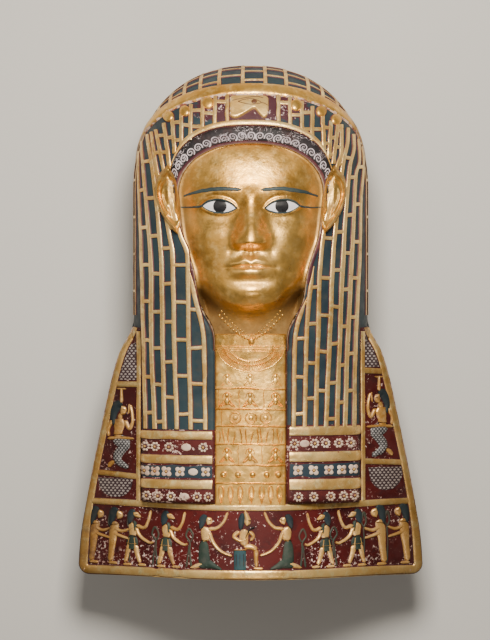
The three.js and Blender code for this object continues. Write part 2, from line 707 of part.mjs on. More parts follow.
// Shell, hollow inside, open at the nape and behind the chest plate
const shellLevels = 22;
const shellAround = 36;
const openingCut = prism(openingShape(0), openingFloorZ, wigFrontZ + cutReach);
const opened = shellBody(0, 0, shellLevels, shellAround).subtract(openingCut);
const behindFace = openingBlock(faceHollow, openingFloorZ - 25, wallThickness, hollowColumns, hollowRows);
const faceSkin = openingBlock(wigFrontZ + cutReach, faceHollow, wallThickness, hollowColumns, hollowRows);
const insideLevels = 13;
const insideAround = 22;
const inside = shellBody(wallThickness, 0, insideLevels, insideAround).subtract(faceSkin).add(behindFace);
const whole = wasm.Manifold.union([opened, ...pieces]);
const solid = whole.subtract(inside).subtract(openBack()).subtract(floorCut());

const mesh = solid.getMesh();
const geometry = new THREE.BufferGeometry();
geometry.setAttribute('position', new THREE.BufferAttribute(new Float32Array(mesh.vertProperties), 3));
geometry.setIndex(new THREE.BufferAttribute(new Uint32Array(mesh.triVerts), 1));
geometry.computeVertexNormals();

const gildedCartonnage = new THREE.MeshStandardMaterial({ color: 0xc8964a, roughness: 0.38, metalness: 0.7 });
const mask = new THREE.Mesh(geometry, gildedCartonnage);
mask.name = 'mask';

const group = new THREE.Group();
group.add(mask);

export default group;
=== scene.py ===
import math
import random

import bmesh
import bpy
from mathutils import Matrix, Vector, noise


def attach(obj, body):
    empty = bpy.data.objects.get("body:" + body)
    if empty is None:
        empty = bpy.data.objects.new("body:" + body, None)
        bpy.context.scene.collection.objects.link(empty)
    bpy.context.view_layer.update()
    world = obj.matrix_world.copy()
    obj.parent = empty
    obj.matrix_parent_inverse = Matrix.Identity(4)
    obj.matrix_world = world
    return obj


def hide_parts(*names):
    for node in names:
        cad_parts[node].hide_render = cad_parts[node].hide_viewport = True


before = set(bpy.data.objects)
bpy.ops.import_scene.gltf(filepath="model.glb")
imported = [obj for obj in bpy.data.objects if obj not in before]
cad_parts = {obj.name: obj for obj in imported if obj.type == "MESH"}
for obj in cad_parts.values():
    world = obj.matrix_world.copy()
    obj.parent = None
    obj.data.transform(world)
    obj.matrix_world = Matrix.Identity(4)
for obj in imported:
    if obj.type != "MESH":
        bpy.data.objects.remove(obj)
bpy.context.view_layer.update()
random.seed(11)
mm = 0.001

# forms shared by every piece, in millimetres
shellForm = {
    "crownY": 256, "hemY": -256, "templeY": 130, "halfWidth": 117.5, "midZ": 100, "frontZ": 190,
    "lappetFrontZ": 172, "power": 2.2, "backPower": 2.5, "backSink": 3, "wall": 4.6, "napeY": -48,
    "plateFrontZ": 168, "plateArch": 3, "shoulderDrop": 72, "shoulderWidth": 112, "sideDrop": 12,
    "plateHalf": 174, "blendTop": 20, "blendEnd": -45, "corner": 13, "sideRimY": -90,
}
openingForm = {"half": 73, "midY": 125, "rise": 50, "power": 2.2}
faceForm = {"chinY": 17, "unit": 54, "half": 74, "eyeX": 31, "eyeHalf": 17, "noseReach": 25, "jawRise": 15,
            "throatZ": 138, "throatSoft": 10}


def mix(low, high, share):
    return low + (high - low) * share


def ease(low, high, value):
    share = min(max((value - low) / (high - low), 0.0), 1.0)
    return share * share * (3 - 2 * share)


def bell(distance, spread):
    return math.exp(-((distance / spread) ** 2))


def arc(share, power):
    return (1 - min(abs(share), 1.0) ** power) ** (1 / power)


def through(stations):
    last = len(stations) - 1
    slopes = []
    for k in range(len(stations)):
        before, after = stations[max(k - 1, 0)], stations[min(k + 1, last)]
        slopes.append((after[1] - before[1]) / (after[0] - before[0]))

    def value(position):
        k = 0
        while k < last - 1 and position > stations[k + 1][0]:
            k += 1
        (x0, y0), (x1, y1) = stations[k], stations[k + 1]
        span = x1 - x0
        t = min(max((position - x0) / span, 0.0), 1.0)
        rise = span * slopes[k] * (t ** 3 - 2 * t ** 2 + t) + span * slopes[k + 1] * (t ** 3 - t ** 2)
        return y0 * (2 * t ** 3 - 3 * t ** 2 + 1) + y1 * (3 * t ** 2 - 2 * t ** 3) + rise
    return value


plateOutline = through([(0, 117.5), (12, 121.5), (30, 131.5), (55, 139.5), (100, 149.5), (160, 162),
                        (210, 170.5), (256, 174)])


def crownShare(y):
    return max((y - shellForm["templeY"]) / (shellForm["crownY"] - shellForm["templeY"]), 0.0)


def shellHalf(y):
    if y < 0:
        r = shellForm["corner"]
        into = max(r - (y - shellForm["hemY"]), 0.0)
        return plateOutline(-y) - (r - math.sqrt(max(r * r - into * into, 0.0)))
    return shellForm["halfWidth"] * arc(crownShare(y), shellForm["power"])


def wigFront(x, y):
    front = mix(shellForm["lappetFrontZ"], shellForm["frontZ"], ease(-90, 70, y))
    half = shellForm["halfWidth"] if y < shellForm["templeY"] else shellHalf(y)
    mid = shellForm["midZ"]
    height = mid + (front - mid) * arc(crownShare(y), shellForm["power"])
    return mid + (height - mid) * arc(x / max(half, 0.001), shellForm["power"])


def plateFront(x, y):
    middle = shellForm["plateFrontZ"] - shellForm["plateArch"] * ((y + 120) / 136) ** 2
    shoulder = shellForm["shoulderDrop"] * (1 - math.exp(-abs(x / shellForm["shoulderWidth"]) ** 2.4))
    return middle - shoulder - shellForm["sideDrop"] * (x / shellForm["plateHalf"]) ** 2


def plateShare(y):
    return 1 - ease(shellForm["blendEnd"], shellForm["blendTop"], y)


def shellFront(x, y):
    return mix(wigFront(x, y), plateFront(x, y), plateShare(y))


def edgeZ(y):
    return mix(shellForm["midZ"], shellFront(shellHalf(y), y), plateShare(y))


# Place on the shell at a turn about its long axis, 0 in front and pi at the back
def wrapPoint(turn, y):
    half = shellHalf(y)
    x = half * math.sin(turn)
    if math.cos(turn) >= 0:
        return Vector((x, y, shellFront(x, y)))
    depth = (shellForm["midZ"] + shellForm["backSink"]) * arc(crownShare(y), shellForm["backPower"])
    z = edgeZ(y) - depth * arc(math.sin(turn), shellForm["backPower"])
    return Vector((x, y, max(z, 0.0)))


openingSide = through([(-60, 36), (-30, 36), (-9, 38), (16, 51), (50, 57), (85, 68), (125, 73)])


def openingHalf(y):
    if y < openingForm["midY"]:
        return openingSide(y)
    return openingForm["half"] * arc((y - openingForm["midY"]) / openingForm["rise"], openingForm["power"])


# face: head units set its places
browY = faceForm["chinY"] + 2 * faceForm["unit"]
noseY = faceForm["chinY"] + faceForm["unit"]
eyeY = faceForm["chinY"] + 1.75 * faceForm["unit"]
mouthY = noseY - faceForm["unit"] / 3
faceMiddle = through([(-40, 161), (-14, 165), (-2, 168), (6, 175), (12, 185), (17, 192), (30, 197.5),
                      (50, 197), (71, 197), (100, 196), (125, 197), (150, 191), (165, 185), (180, 176)])
faceWidth = through([(-40, 60), (-10, 52), (2, 48), (17, 47), (33, 56), (53, 64), (71, 70), (111.5, 74),
                     (150, 74), (180, 66)])
faceSideDrop = through([(-40, 6), (-5, 14), (17, 32), (53, 38), (111.5, 38), (180, 22)])


# Distance inside the edge of the eye's opening, below zero outside it
def eyeMargin(side, y):
    along = (side - faceForm["eyeX"]) / faceForm["eyeHalf"]
    lean = 1.2 * along
    body = max(1 - abs(along) ** 2.3, 0.0)
    upper = eyeY + lean + 7.2 * body ** 0.85
    lower = eyeY + lean - 5.6 * body
    margin = min(upper - y, y - lower)
    return margin - max(abs(along) - 1, 0.0) * faceForm["eyeHalf"]


# How much the line under the chin rises toward the sides
def jawShift(side, y):
    return faceForm["jawRise"] * min(side / 46, 1.2) ** 2.4 * (1 - ease(22, 64, y))


def faceFront(x, y, fine=True):
    side = abs(x)
    low = y - jawShift(side, y)
    share = side / faceWidth(y)
    z = faceMiddle(low) - faceSideDrop(y) * min(share, 1.3) ** 2.5 - 30 * max(share - 1, 0.0) ** 2
    bridge = 1 - ease(noseY + 6, eyeY + 12, y)
    underNose = ease(noseY - 3.5, noseY + 6, y)
    noseWidth = mix(9, 13.5, bridge)
    top = 1 - ease(browY - 8, browY + 10, y)
    z += faceForm["noseReach"] * mix(0.2, 1, bridge) * top * underNose * math.exp(-(side / noseWidth) ** 2.5)
    z += 7.5 * bell(side - 14, 5.5) * bell(y - noseY - 7, 7.5) * underNose
    z -= 7 * bell(side - faceForm["eyeX"] + 2, 17) * bell(y - eyeY + 1, 13)
    z += 5.5 * bell(side - faceForm["eyeX"], 15) * bell(y - eyeY, 9)
    browLine = browY + 3 - 0.004 * (side - 30) ** 2
    z += 2.2 * bell(side - faceForm["eyeX"] + 2, 21) * bell(y - browLine, 6)
    z += 3.5 * bell(side - 42, 19) * bell(y - noseY - 12, 18)
    bow = 1.6 * bell(side - 6, 5) - 1.0 * bell(side, 3)
    z += 4.2 * bell(side, 22) * bell(y - mouthY, 15)
    z += 3.4 * math.exp(-(side / 21) ** 3) * bell(y - mouthY - 4.6 - bow + 0.005 * side ** 2, 4.2)
    z += 4.0 * math.exp(-(side / 17) ** 3) * bell(y - mouthY + 5.4, 4.8)
    z -= 2.3 * math.exp(-(side / 23) ** 6) * bell(y - mouthY + 0.0015 * side ** 2, 1.5)
    z -= 1.2 * bell(side - 25, 4) * bell(y - mouthY, 5)
    z -= 2.2 * math.exp(-(side / 20) ** 4) * bell(y - mouthY + 14, 5)
    z += 3 * bell(side, 17) * bell(y - faceForm["chinY"] - 10, 9)
    z -= 1.0 * bell(side, 3) * ease(mouthY + 7, mouthY + 11, y) * (1 - ease(noseY - 4, noseY + 1, y))
    level = faceForm["throatZ"] + faceForm["throatSoft"]
    if z < level:
        z = faceForm["throatZ"] + faceForm["throatSoft"] * math.exp((z - level) / faceForm["throatSoft"])
    if fine:
        margin = eyeMargin(side, y)
        z += 1.3 * bell(margin + 1.1, 1.3)
        z -= 1.2 * ease(-0.2, 1.2, margin)
        z -= 0.8 * bell(margin + 4.8, 1.4) * ease(eyeY, eyeY + 5, y)
        z -= 2.2 * bell(side - 7, 3.0) * bell(y - noseY + 0.5, 2.2)
        crease = bell(side - 19 - 0.2 * (noseY + 4 - y), 3.5) * ease(noseY - 12, noseY, y)
        z -= 1.2 * crease * (1 - ease(noseY + 6, noseY + 13, y))
        rise = 1 - ease(0, 6, openingHalf(min(y, 174)) - side)
        z = mix(z, max(z, wigFront(x, y) - 2.0), 0.5 * rise * ease(0, 20, y))
    return z


def normalOf(surface, x, y):
    step = 0.4
    zx = (surface(x + step, y) - surface(x - step, y)) / (2 * step)
    zy = (surface(x, y + step) - surface(x, y - step)) / (2 * step)
    return Vector((-zx, -zy, 1)).normalized()


def onSurface(surface):
    def point(x, y, lift):
        return Vector((x, y, surface(x, y))) + normalOf(surface, x, y) * lift
    return point


# mesh making
def newObject(name, bm, materials, sharpAngle=0.6):
    bmesh.ops.recalc_face_normals(bm, faces=bm.faces)
    for face in bm.faces:
        face.smooth = True
    for edge in bm.edges:
        if len(edge.link_faces) == 2:
            edge.smooth = edge.calc_face_angle(0) < sharpAngle
    mesh = bpy.data.meshes.new(name)
    bm.to_mesh(mesh)
    bm.free()
    for material in materials:
        mesh.materials.append(material)
    piece = bpy.data.objects.new(name, mesh)
    bpy.context.scene.collection.objects.link(piece)
    return piece


def place(piece):
    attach(piece, "root")
    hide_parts("mask")
    print("made", piece.name, len(piece.data.polygons))


# Sheet of columns by rows placed by put(u, v), closed below by the same border put at under(u, v)
def gridPatch(bm, columns, rows, put, under=None, material=0, edge=None):
    rim = bm.verts.layers.float.get("rim") or bm.verts.layers.float.new("rim")
    made = bmesh.ops.create_grid(bm, x_segments=columns, y_segments=rows, size=0.5)
    verts = made["verts"]
    spots = {}
    for vert in verts:
        spots[vert] = (vert.co.x + 0.5, vert.co.y + 0.5)
        vert[rim] = abs(2 * spots[vert][0] - 1)
    faces = {face for vert in verts for face in vert.link_faces}
    for face in faces:
        u = sum(spots[vert][0] for vert in face.verts) / len(face.verts)
        outer = edge is not None and min(u, 1 - u) < 1 / columns
        face.material_index = edge if outer else material
    for vert, (u, v) in spots.items():
        vert.co = put(u, v) * mm
    if under is None:
        return verts
    border = [item for item in {e for face in faces for e in face.edges} if item.is_boundary]
    grown = bmesh.ops.extrude_edge_only(bm, edges=border)["geom"]
    lower = [item for item in grown if isinstance(item, bmesh.types.BMVert)]
    tops = {}
    for vert in lower:
        vert[rim] = 1.0
        for link in vert.link_edges:
            other = link.other_vert(vert)
            if other in spots:
                tops[vert] = spots[other]
    for vert, (u, v) in tops.items():
        vert.co = under(u, v) * mm
    low = {item for vert in lower for item in vert.link_edges if all(end in tops for end in item.verts)}
    sides = [item for item in low if len({tops[end][0] for end in item.verts}) == 1]
    bmesh.ops.bridge_loops(bm, edges=sides)
    bmesh.ops.holes_fill(bm, edges=[item for item in low if item not in sides], sides=0)
    for vert in lower:
        for face in vert.link_faces:
            face.material_index = material if edge is None else edge
    return verts


# Raised strip along path(t), rounded over, whose foot sinks into the surface
def ridge(bm, path, half, lift, point, steps, material=0, profile=4, across=6, sink=0.8, wobble=0.25,
          edge=None):
    shake = random.random() * 50

    def spot(u, v):
        x, y = path(v)
        xa, ya = path(max(v - 0.004, 0.0))
        xb, yb = path(min(v + 0.004, 1.0))
        length = math.hypot(xb - xa, yb - ya) or 1
        nx, ny = -(yb - ya) / length, (xb - xa) / length
        s = 2 * u - 1
        width = half(v) if callable(half) else half
        sway = wobble * noise.noise(Vector((v * 9, shake, 0))) * 2
        swell = 1 + wobble * 0.5 * noise.noise(Vector((v * 13, shake + 9, 0)))
        offset = s * width * swell + sway
        return x + nx * offset, y + ny * offset, s

    def put(u, v):
        x, y, s = spot(u, v)
        return point(x, y, lift * (1 - abs(s) ** profile) - 0.15 * abs(s) ** profile)

    def under(u, v):
        x, y = spot(u, v)[:2]
        return point(x, y, -sink)
    return gridPatch(bm, across, steps, put, under, material, edge)


def closeTube(bm, verts, dist=0.00002):
    bmesh.ops.remove_doubles(bm, verts=verts, dist=dist)


# Rounded boss on a surface
def dome(bm, x, y, rx, ry, lift, point, material=0, turn=0.0, power=2.0, around=20, rings=6):
    def put(u, v):
        angle = 2 * math.pi * u
        r = math.sin(v * math.pi / 2)
        ca, sa = math.cos(angle) * rx * r, math.sin(angle) * ry * r
        px, py = x + ca * math.cos(turn) - sa * math.sin(turn), y + ca * math.sin(turn) + sa * math.cos(turn)
        return point(px, py, lift * arc(r, power) - 0.4 * ease(0.95, 1, r))
    verts = gridPatch(bm, around, rings, put, None, material)
    closeTube(bm, verts)


# Raised plate between two curves low(x) and high(x), its borders rounded over
def outlinePatch(bm, low, high, x0, x1, lift, point, columns, rows, soft, sink):
    def edgeShare(distance):
        return arc(1 - min(max(distance, 0.0) / soft, 1.0), 2)

    def spot(u, v):
        su = 0.5 - 0.5 * math.cos(math.pi * u)
        sv = 0.5 - 0.5 * math.cos(math.pi * v)
        x = mix(x0, x1, mix(u, su, 0.6))
        return x, mix(low(x), high(x), mix(v, sv, 0.6))

    def put(u, v):
        x, y = spot(u, v)
        near = min(x - x0, x1 - x, y - low(x), high(x) - y)
        return point(x, y, lift * edgeShare(near) - 0.1)

    def under(u, v):
        x, y = spot(u, v)
        return point(x, y, -sink)
    return gridPatch(bm, columns, rows, put, under)


# materials
# painted shade on the low sides: height where it starts, height where it is full, its brown tint and its
# strength
shadeAndGrime = {"startZ": 0.145, "fullZ": 0.085, "tint": (0.30, 0.25, 0.20), "share": 0.8}


def newMaterial(name):
    material = bpy.data.materials.new(name)
    material.use_nodes = True
    tree = material.node_tree
    tree.nodes.clear()
    out = tree.nodes.new("ShaderNodeOutputMaterial")
    shader = tree.nodes.new("ShaderNodeBsdfPrincipled")
    tree.links.new(shader.outputs[0], out.inputs[0])
    return material, tree, shader


# Short way to add and link nodes in one material
class Weave:
    def __init__(self, name):
        self.material, self.tree, self.shader = newMaterial(name)
        self.coords = self.tree.nodes.new("ShaderNodeTexCoord").outputs["Object"]

    def node(self, kind, **inputs):
        made = self.tree.nodes.new(kind)
        for key, value in inputs.items():
            if key.startswith("set_"):
                setattr(made, key[4:], value)
                continue
            name = key.replace("_", " ")
            socket = made.inputs[int(key[1:])] if key[0] == "i" and key[1:].isdigit() else made.inputs[name]
            if isinstance(value, bpy.types.NodeSocket):
                self.tree.links.new(value, socket)
            else:
                socket.default_value = value
        return made

    def noise(self, scale, detail=4.0, roughness=0.55, distortion=0.0):
        made = self.node("ShaderNodeTexNoise", Scale=scale, Detail=detail, Roughness=roughness,
                         Distortion=distortion, Vector=self.coords)
        return made.outputs["Fac"]

    def ramp(self, value, low, high, start=0.0, end=1.0):
        made = self.node("ShaderNodeMapRange", Value=value, set_interpolation_type="SMOOTHSTEP")
        made.inputs["From Min"].default_value = low
        made.inputs["From Max"].default_value = high
        made.inputs["To Min"].default_value = start
        made.inputs["To Max"].default_value = end
        return made.outputs[0]

    def math(self, operation, a, b=0.0):
        return self.node("ShaderNodeMath", set_operation=operation, i0=a, i1=b).outputs[0]

    def plus(self, a, b):
        return self.math("ADD", a, b)

    def minus(self, a, b):
        return self.math("SUBTRACT", a, b)

    def times(self, a, b):
        return self.math("MULTIPLY", a, b)

    def over(self, a, b):
        return self.math("DIVIDE", a, b)

    def parts(self):
        return self.node("ShaderNodeSeparateXYZ", Vector=self.coords).outputs

    def blend(self, share, a, b):
        made = self.tree.nodes.new("ShaderNodeMix")
        made.data_type = "RGBA"
        for socket, value in ((made.inputs[0], share), (made.inputs[6], a), (made.inputs[7], b)):
            if isinstance(value, bpy.types.NodeSocket):
                self.tree.links.new(value, socket)
            else:
                socket.default_value = value if socket is made.inputs[0] else (*value, 1.0)
        return made.outputs[2]

    def attribute(self, name):
        made = self.tree.nodes.new("ShaderNodeAttribute")
        made.attribute_name = name
        return made.outputs["Fac"]

    def bump(self, height, strength, distance):
        return self.node("ShaderNodeBump", Strength=strength, Distance=distance, Height=height).outputs[0]

    # Painted shade: colour darkened by height toward the low sides of the wig and the plate, a dusty brown
    # tint standing in for the light falling off there
    def paintedSideShade(self, color):
        drift = self.times(self.minus(self.noise(18, 4), 0.5), 0.03)
        low = self.ramp(self.plus(self.parts()[2], drift), shadeAndGrime["startZ"], shadeAndGrime["fullZ"])
        dark = self.node("ShaderNodeVectorMath", set_operation="MULTIPLY", i0=color, i1=shadeAndGrime["tint"])
        return self.blend(self.times(low, shadeAndGrime["share"]), color, dark.outputs[0])

    def finish(self, color, roughness, metallic=0.0, normal=None, **others):
        pairs = [("Base Color", color), ("Roughness", roughness), ("Metallic", metallic)]
        pairs += [(key.replace("_", " "), value) for key, value in others.items()]
        for key, value in pairs:
            socket = self.shader.inputs[key]
            if isinstance(value, bpy.types.NodeSocket):
                self.tree.links.new(value, socket)
            elif key == "Base Color":
                socket.default_value = (*value, 1.0)
            else:
                socket.default_value = value
        if normal is not None:
            self.tree.links.new(normal, self.shader.inputs["Normal"])
        return self.material


# Gold leaf over a red-brown ground: tone drift, grime, specks worn through, edges rubbed to the gesso. Where
# hollow is given, painted shade darkens the deep parts to brown.
def goldMaterial(name, wear, dirt, tone, metallic, edgeWear=0.0, hollow=None):
    w = Weave(name)
    broad = w.noise(14, 5, 0.6)
    fine = w.noise(130, 5, 0.65)
    darker = (tone[0] * 0.74, tone[1] * 0.62, tone[2] * 0.42)
    lighter = (min(tone[0] * 1.13, 1), tone[1] * 1.2, tone[2] * 1.5)
    leaf = w.blend(w.ramp(broad, 0.35, 0.66), tone, darker)
    leaf = w.blend(w.ramp(fine, 0.46, 0.74), leaf, lighter)
    spot = w.ramp(w.noise(48, 6, 0.7), 0.5, 0.7)
    streak = w.ramp(w.noise(26, 6, 0.75, distortion=1.2), 0.56, 0.72)
    shadeAndGrime = w.times(w.math("MAXIMUM", spot, streak), dirt)
    color = w.blend(shadeAndGrime, leaf, (0.13, 0.05, 0.012))
    # painted shade: below the hollow heights the leaf turns dark brown, less metallic and rougher, standing
    # in for shadow in the recesses of the face and neck
    if hollow:
        depth = w.plus(w.parts()[2], w.times(w.minus(w.noise(35, 4), 0.5), 0.012))
        shade = w.times(w.ramp(depth, *hollow), 0.85)
        color = w.blend(shade, color, (0.15, 0.085, 0.03))
        shadeAndGrime = w.math("MAXIMUM", shadeAndGrime, shade)
    pin = w.math("GREATER_THAN", w.noise(420, 3, 0.6), 0.735 - 0.03 * wear)
    patch = w.math("GREATER_THAN", w.noise(75, 7, 0.72, distortion=0.6), 0.74 - 0.1 * wear)
    worn = w.math("MAXIMUM", patch, w.times(pin, w.ramp(w.noise(20, 3), 0.45, 0.6)))
    if edgeWear:
        rim = w.ramp(w.attribute("rim"), 0.62, 1.0)
        bite = w.plus(w.noise(95, 6, 0.7), w.times(rim, 0.32))
        worn = w.math("MAXIMUM", worn, w.math("GREATER_THAN", bite, 0.86 - 0.16 * edgeWear))
    ground = w.blend(w.ramp(w.noise(190, 3), 0.42, 0.56), (0.16, 0.035, 0.02), (0.52, 0.36, 0.27))
    color = w.blend(worn, color, ground)
    metal = w.minus(metallic, w.times(shadeAndGrime, 0.45))
    metal = w.times(metal, w.minus(1.0, w.times(worn, 0.95)))
    rough = w.ramp(w.noise(60, 5, 0.6), 0.3, 0.7, 0.26, 0.44)
    rough = w.plus(rough, w.times(w.math("MAXIMUM", shadeAndGrime, worn), 0.35))
    height = w.times(w.noise(320, 4, 0.6), 0.3)
    height = w.plus(height, w.times(w.noise(55, 4, 0.6), 1.1))
    height = w.minus(height, w.times(worn, 0.3))
    # the colour also takes the painted side shade
    return w.finish(w.paintedSideShade(color), rough, metal, w.bump(height, 0.4, 0.0014))


# Matt paint: two tones drifting into a third, with flakes lost down to a light ground
def paintMaterial(name, base, second, third, flake, flakeAmount=0.35, roughness=0.62, extra=None):
    w = Weave(name)
    patch = w.noise(22, 5, 0.6)
    tone = w.blend(w.ramp(patch, 0.38, 0.62), base, second)
    tone = w.blend(w.times(w.ramp(w.noise(70, 5, 0.65), 0.48, 0.7), 0.7), tone, third)
    if extra:
        tone = extra(w, tone)
    chance = w.noise(150, 7, 0.7, distortion=0.4)
    zone = w.ramp(w.noise(28, 4, 0.6), 0.40, 0.60)
    speck = w.math("GREATER_THAN", w.plus(chance, w.times(zone, 0.12 * flakeAmount + 0.02)),
                   0.80 - 0.16 * flakeAmount)
    color = w.blend(speck, tone, flake)
    height = w.plus(w.times(w.noise(260, 5, 0.65), 0.5), w.times(speck, -0.5))
    rough = w.ramp(w.noise(90, 4), 0.3, 0.7, roughness - 0.1, roughness + 0.12)
    # the colour also takes the painted side shade
    return w.finish(w.paintedSideShade(color), rough, 0.0, w.bump(height, 0.4, 0.0009), Specular_IOR_Level=0.28)


# Purple-brown ground laid bare round the plaque, and lattice lines painted on the plain back
def browGround(w, tone):
    x, y, z = w.parts()
    dx = w.over(w.plus(x, 0.001), 0.058)
    dy = w.over(w.minus(y, 0.212), 0.020)
    away = w.math("SQRT", w.plus(w.times(dx, dx), w.times(dy, dy)))
    away = w.plus(away, w.times(w.minus(w.noise(90, 5, 0.7), 0.5), 1.1))
    front = w.math("GREATER_THAN", z, 0.12)
    bare = w.times(w.ramp(away, 1.05, 0.9), front)
    tone = w.blend(bare, tone, (0.050, 0.014, 0.020))
    chip = w.math("GREATER_THAN", w.noise(210, 5, 0.68, distortion=0.5), 0.57)
    chip = w.times(chip, w.ramp(w.noise(62, 3), 0.46, 0.54))
    tone = w.blend(w.times(chip, bare), tone, (0.50, 0.38, 0.36))
    back = w.math("LESS_THAN", z, 0.016)
    lines = w.math("ABSOLUTE", w.minus(w.math("FRACT", w.over(x, 0.0135)), 0.5))
    stripe = w.times(w.math("LESS_THAN", lines, 0.14), back)
    return w.blend(w.times(stripe, w.ramp(w.noise(60, 4), 0.35, 0.5)), tone, (0.50, 0.30, 0.10))


# Small pinkish losses, thicker toward the hem and toward one side
def damagedGround(w, tone):
    parts = w.parts()
    low = w.ramp(parts[1], -0.195, -0.245)
    ends = w.ramp(w.math("ABSOLUTE", w.minus(parts[0], 0.012)), 0.02, 0.17)
    chance = w.plus(w.noise(330, 5, 0.65, distortion=0.3), w.times(low, 0.045))
    chance = w.plus(chance, w.times(ends, 0.035))
    bare = w.math("GREATER_THAN", chance, 0.635)
    tint = w.blend(w.ramp(w.noise(500, 2), 0.4, 0.6), (0.50, 0.28, 0.26), (0.66, 0.55, 0.50))
    return w.blend(w.times(bare, w.ramp(w.noise(34, 4), 0.42, 0.50)), tone, tint)


# Remnants of white ornament in short crooked strokes
def flecks(w, tone):
    stroke = w.math("ABSOLUTE", w.minus(w.noise(185, 2, 0.5, distortion=1.5), 0.5))
    kept = w.times(w.math("LESS_THAN", stroke, 0.016), w.ramp(w.noise(75, 4), 0.48, 0.55))
    return w.blend(kept, tone, (0.46, 0.40, 0.42))


# face gold, with painted shade in its hollows below 184 mm
goldLeaf = goldMaterial("gold_leaf_face", wear=0.15, dirt=0.4, tone=(0.86, 0.51, 0.13), metallic=0.9,
                        hollow=(0.184, 0.160))
# ears in a darker gold tone, painted shade
shadedGoldEar = goldMaterial("gold_leaf_ears_painted_shade", wear=0.3, dirt=0.75, tone=(0.66, 0.42, 0.12), metallic=0.85)
goldStrip = goldMaterial("gold_leaf_strips", wear=0.55, dirt=0.7, tone=(1.0, 0.67, 0.25), metallic=0.75,
                         edgeWear=0.5)
goldRelief = goldMaterial("gold_leaf_relief", wear=0.4, dirt=0.65, tone=(0.92, 0.54, 0.13), metallic=0.85)
goldFillet = goldMaterial("gold_leaf_fillet", wear=0.3, dirt=0.6, tone=(0.90, 0.53, 0.13), metallic=0.8,
                          edgeWear=0.9)
goldPale = goldMaterial("gold_leaf_plaque", wear=0.5, dirt=0.45, tone=(0.92, 0.60, 0.20), metallic=0.7,
                        edgeWear=0.6)
groundDark = paintMaterial("ground_dark", (0.05, 0.012, 0.018), (0.09, 0.03, 0.035), (0.16, 0.05, 0.04),
                           (0.55, 0.42, 0.38), 0.3)
bandBlue = paintMaterial("band_blue", (0.014, 0.026, 0.038), (0.018, 0.036, 0.050), (0.035, 0.030, 0.028),
                         (0.50, 0.42, 0.36), 0.45)
petalWhite = paintMaterial("petal_white", (0.62, 0.48, 0.38), (0.50, 0.36, 0.27), (0.34, 0.19, 0.14),
                           (0.12, 0.03, 0.03), 0.7)
petalYellow = paintMaterial("petal_yellow", (0.55, 0.34, 0.08), (0.42, 0.22, 0.06), (0.2, 0.07, 0.04),
                            (0.6, 0.5, 0.4), 0.2)
linePaint = paintMaterial("line_paint", (0.06, 0.022, 0.010), (0.09, 0.035, 0.015), (0.14, 0.07, 0.03),
                          (0.45, 0.28, 0.10), 0.2, 0.5)
goldFigure = goldMaterial("gold_leaf_figures", wear=0.6, dirt=0.8, tone=(0.88, 0.54, 0.18), metallic=0.5,
                          edgeWear=0.4)
hairPaint = paintMaterial("hair_paint", (0.010, 0.018, 0.022), (0.018, 0.032, 0.040), (0.04, 0.04, 0.04),
                          (0.45, 0.35, 0.33), 0.3)
kiltGreen = paintMaterial("kilt_green", (0.018, 0.030, 0.024), (0.028, 0.046, 0.034), (0.06, 0.06, 0.05),
                          (0.45, 0.38, 0.33), 0.35)
throneBlue = paintMaterial("throne_blue", (0.02, 0.05, 0.07), (0.03, 0.08, 0.08), (0.05, 0.07, 0.07),
                           (0.45, 0.38, 0.33), 0.3)
staffGreen = paintMaterial("staff_green", (0.03, 0.04, 0.03), (0.05, 0.05, 0.035), (0.09, 0.03, 0.025),
                           (0.5, 0.36, 0.33), 0.4)


def spottedMaterial(name, spacing, light, dark, radius):
    w = Weave(name)
    parts = w.parts()
    across = w.over(parts[0], spacing)
    along = w.over(parts[1], spacing * 0.62)
    row = w.math("FLOOR", along)
    shift = w.times(w.math("MODULO", w.math("ABSOLUTE", row), 2.0), 0.5)
    u = w.minus(w.math("FRACT", w.plus(across, shift)), 0.5)
    v = w.times(w.minus(w.math("FRACT", along), 0.5), 0.8)
    away = w.math("SQRT", w.plus(w.times(u, u), w.times(v, v)))
    away = w.plus(away, w.times(w.minus(w.noise(260, 3), 0.5), 0.35))
    spot = w.ramp(away, radius, radius - 0.08)
    keep = w.ramp(w.noise(45, 4), 0.34, 0.44)
    color = w.blend(w.times(spot, keep), dark, light)
    # the colour also takes the painted side shade
    return w.finish(w.paintedSideShade(color), 0.6, 0.0, w.bump(w.plus(w.noise(260, 4), spot), 0.4, 0.0006))


scalePaint = spottedMaterial("scale_paint", 0.0042, (0.36, 0.31, 0.30), (0.035, 0.015, 0.02), 0.34)
netPaint = spottedMaterial("net_paint", 0.0034, (0.36, 0.35, 0.36), (0.03, 0.03, 0.035), 0.36)
wigBlue = paintMaterial("wig_blue", (0.015, 0.026, 0.034), (0.019, 0.036, 0.044), (0.036, 0.040, 0.038),
                        (0.26, 0.27, 0.25), 0.15, 0.5, browGround)
groundRed = paintMaterial("ground_red", (0.048, 0.004, 0.004), (0.082, 0.007, 0.006), (0.024, 0.005, 0.006),
                          (0.58, 0.40, 0.36), 0.5, 0.55, damagedGround)
bandRed = paintMaterial("band_red", (0.045, 0.006, 0.006), (0.080, 0.010, 0.009), (0.020, 0.005, 0.006),
                        (0.55, 0.38, 0.33), 0.8, 0.6, damagedGround)
curlBlack = paintMaterial("curl_black", (0.007, 0.006, 0.007), (0.014, 0.010, 0.012), (0.035, 0.014, 0.014),
                          (0.50, 0.42, 0.46), 0.6, 0.62, flecks)
curlWhite = paintMaterial("curl_white", (0.52, 0.46, 0.48), (0.38, 0.32, 0.35), (0.25, 0.18, 0.2),
                          (0.10, 0.07, 0.08), 0.4)
lining = paintMaterial("linen_lining", (0.30, 0.21, 0.13), (0.24, 0.16, 0.10), (0.16, 0.10, 0.06),
                       (0.45, 0.37, 0.27), 0.4, 0.85)
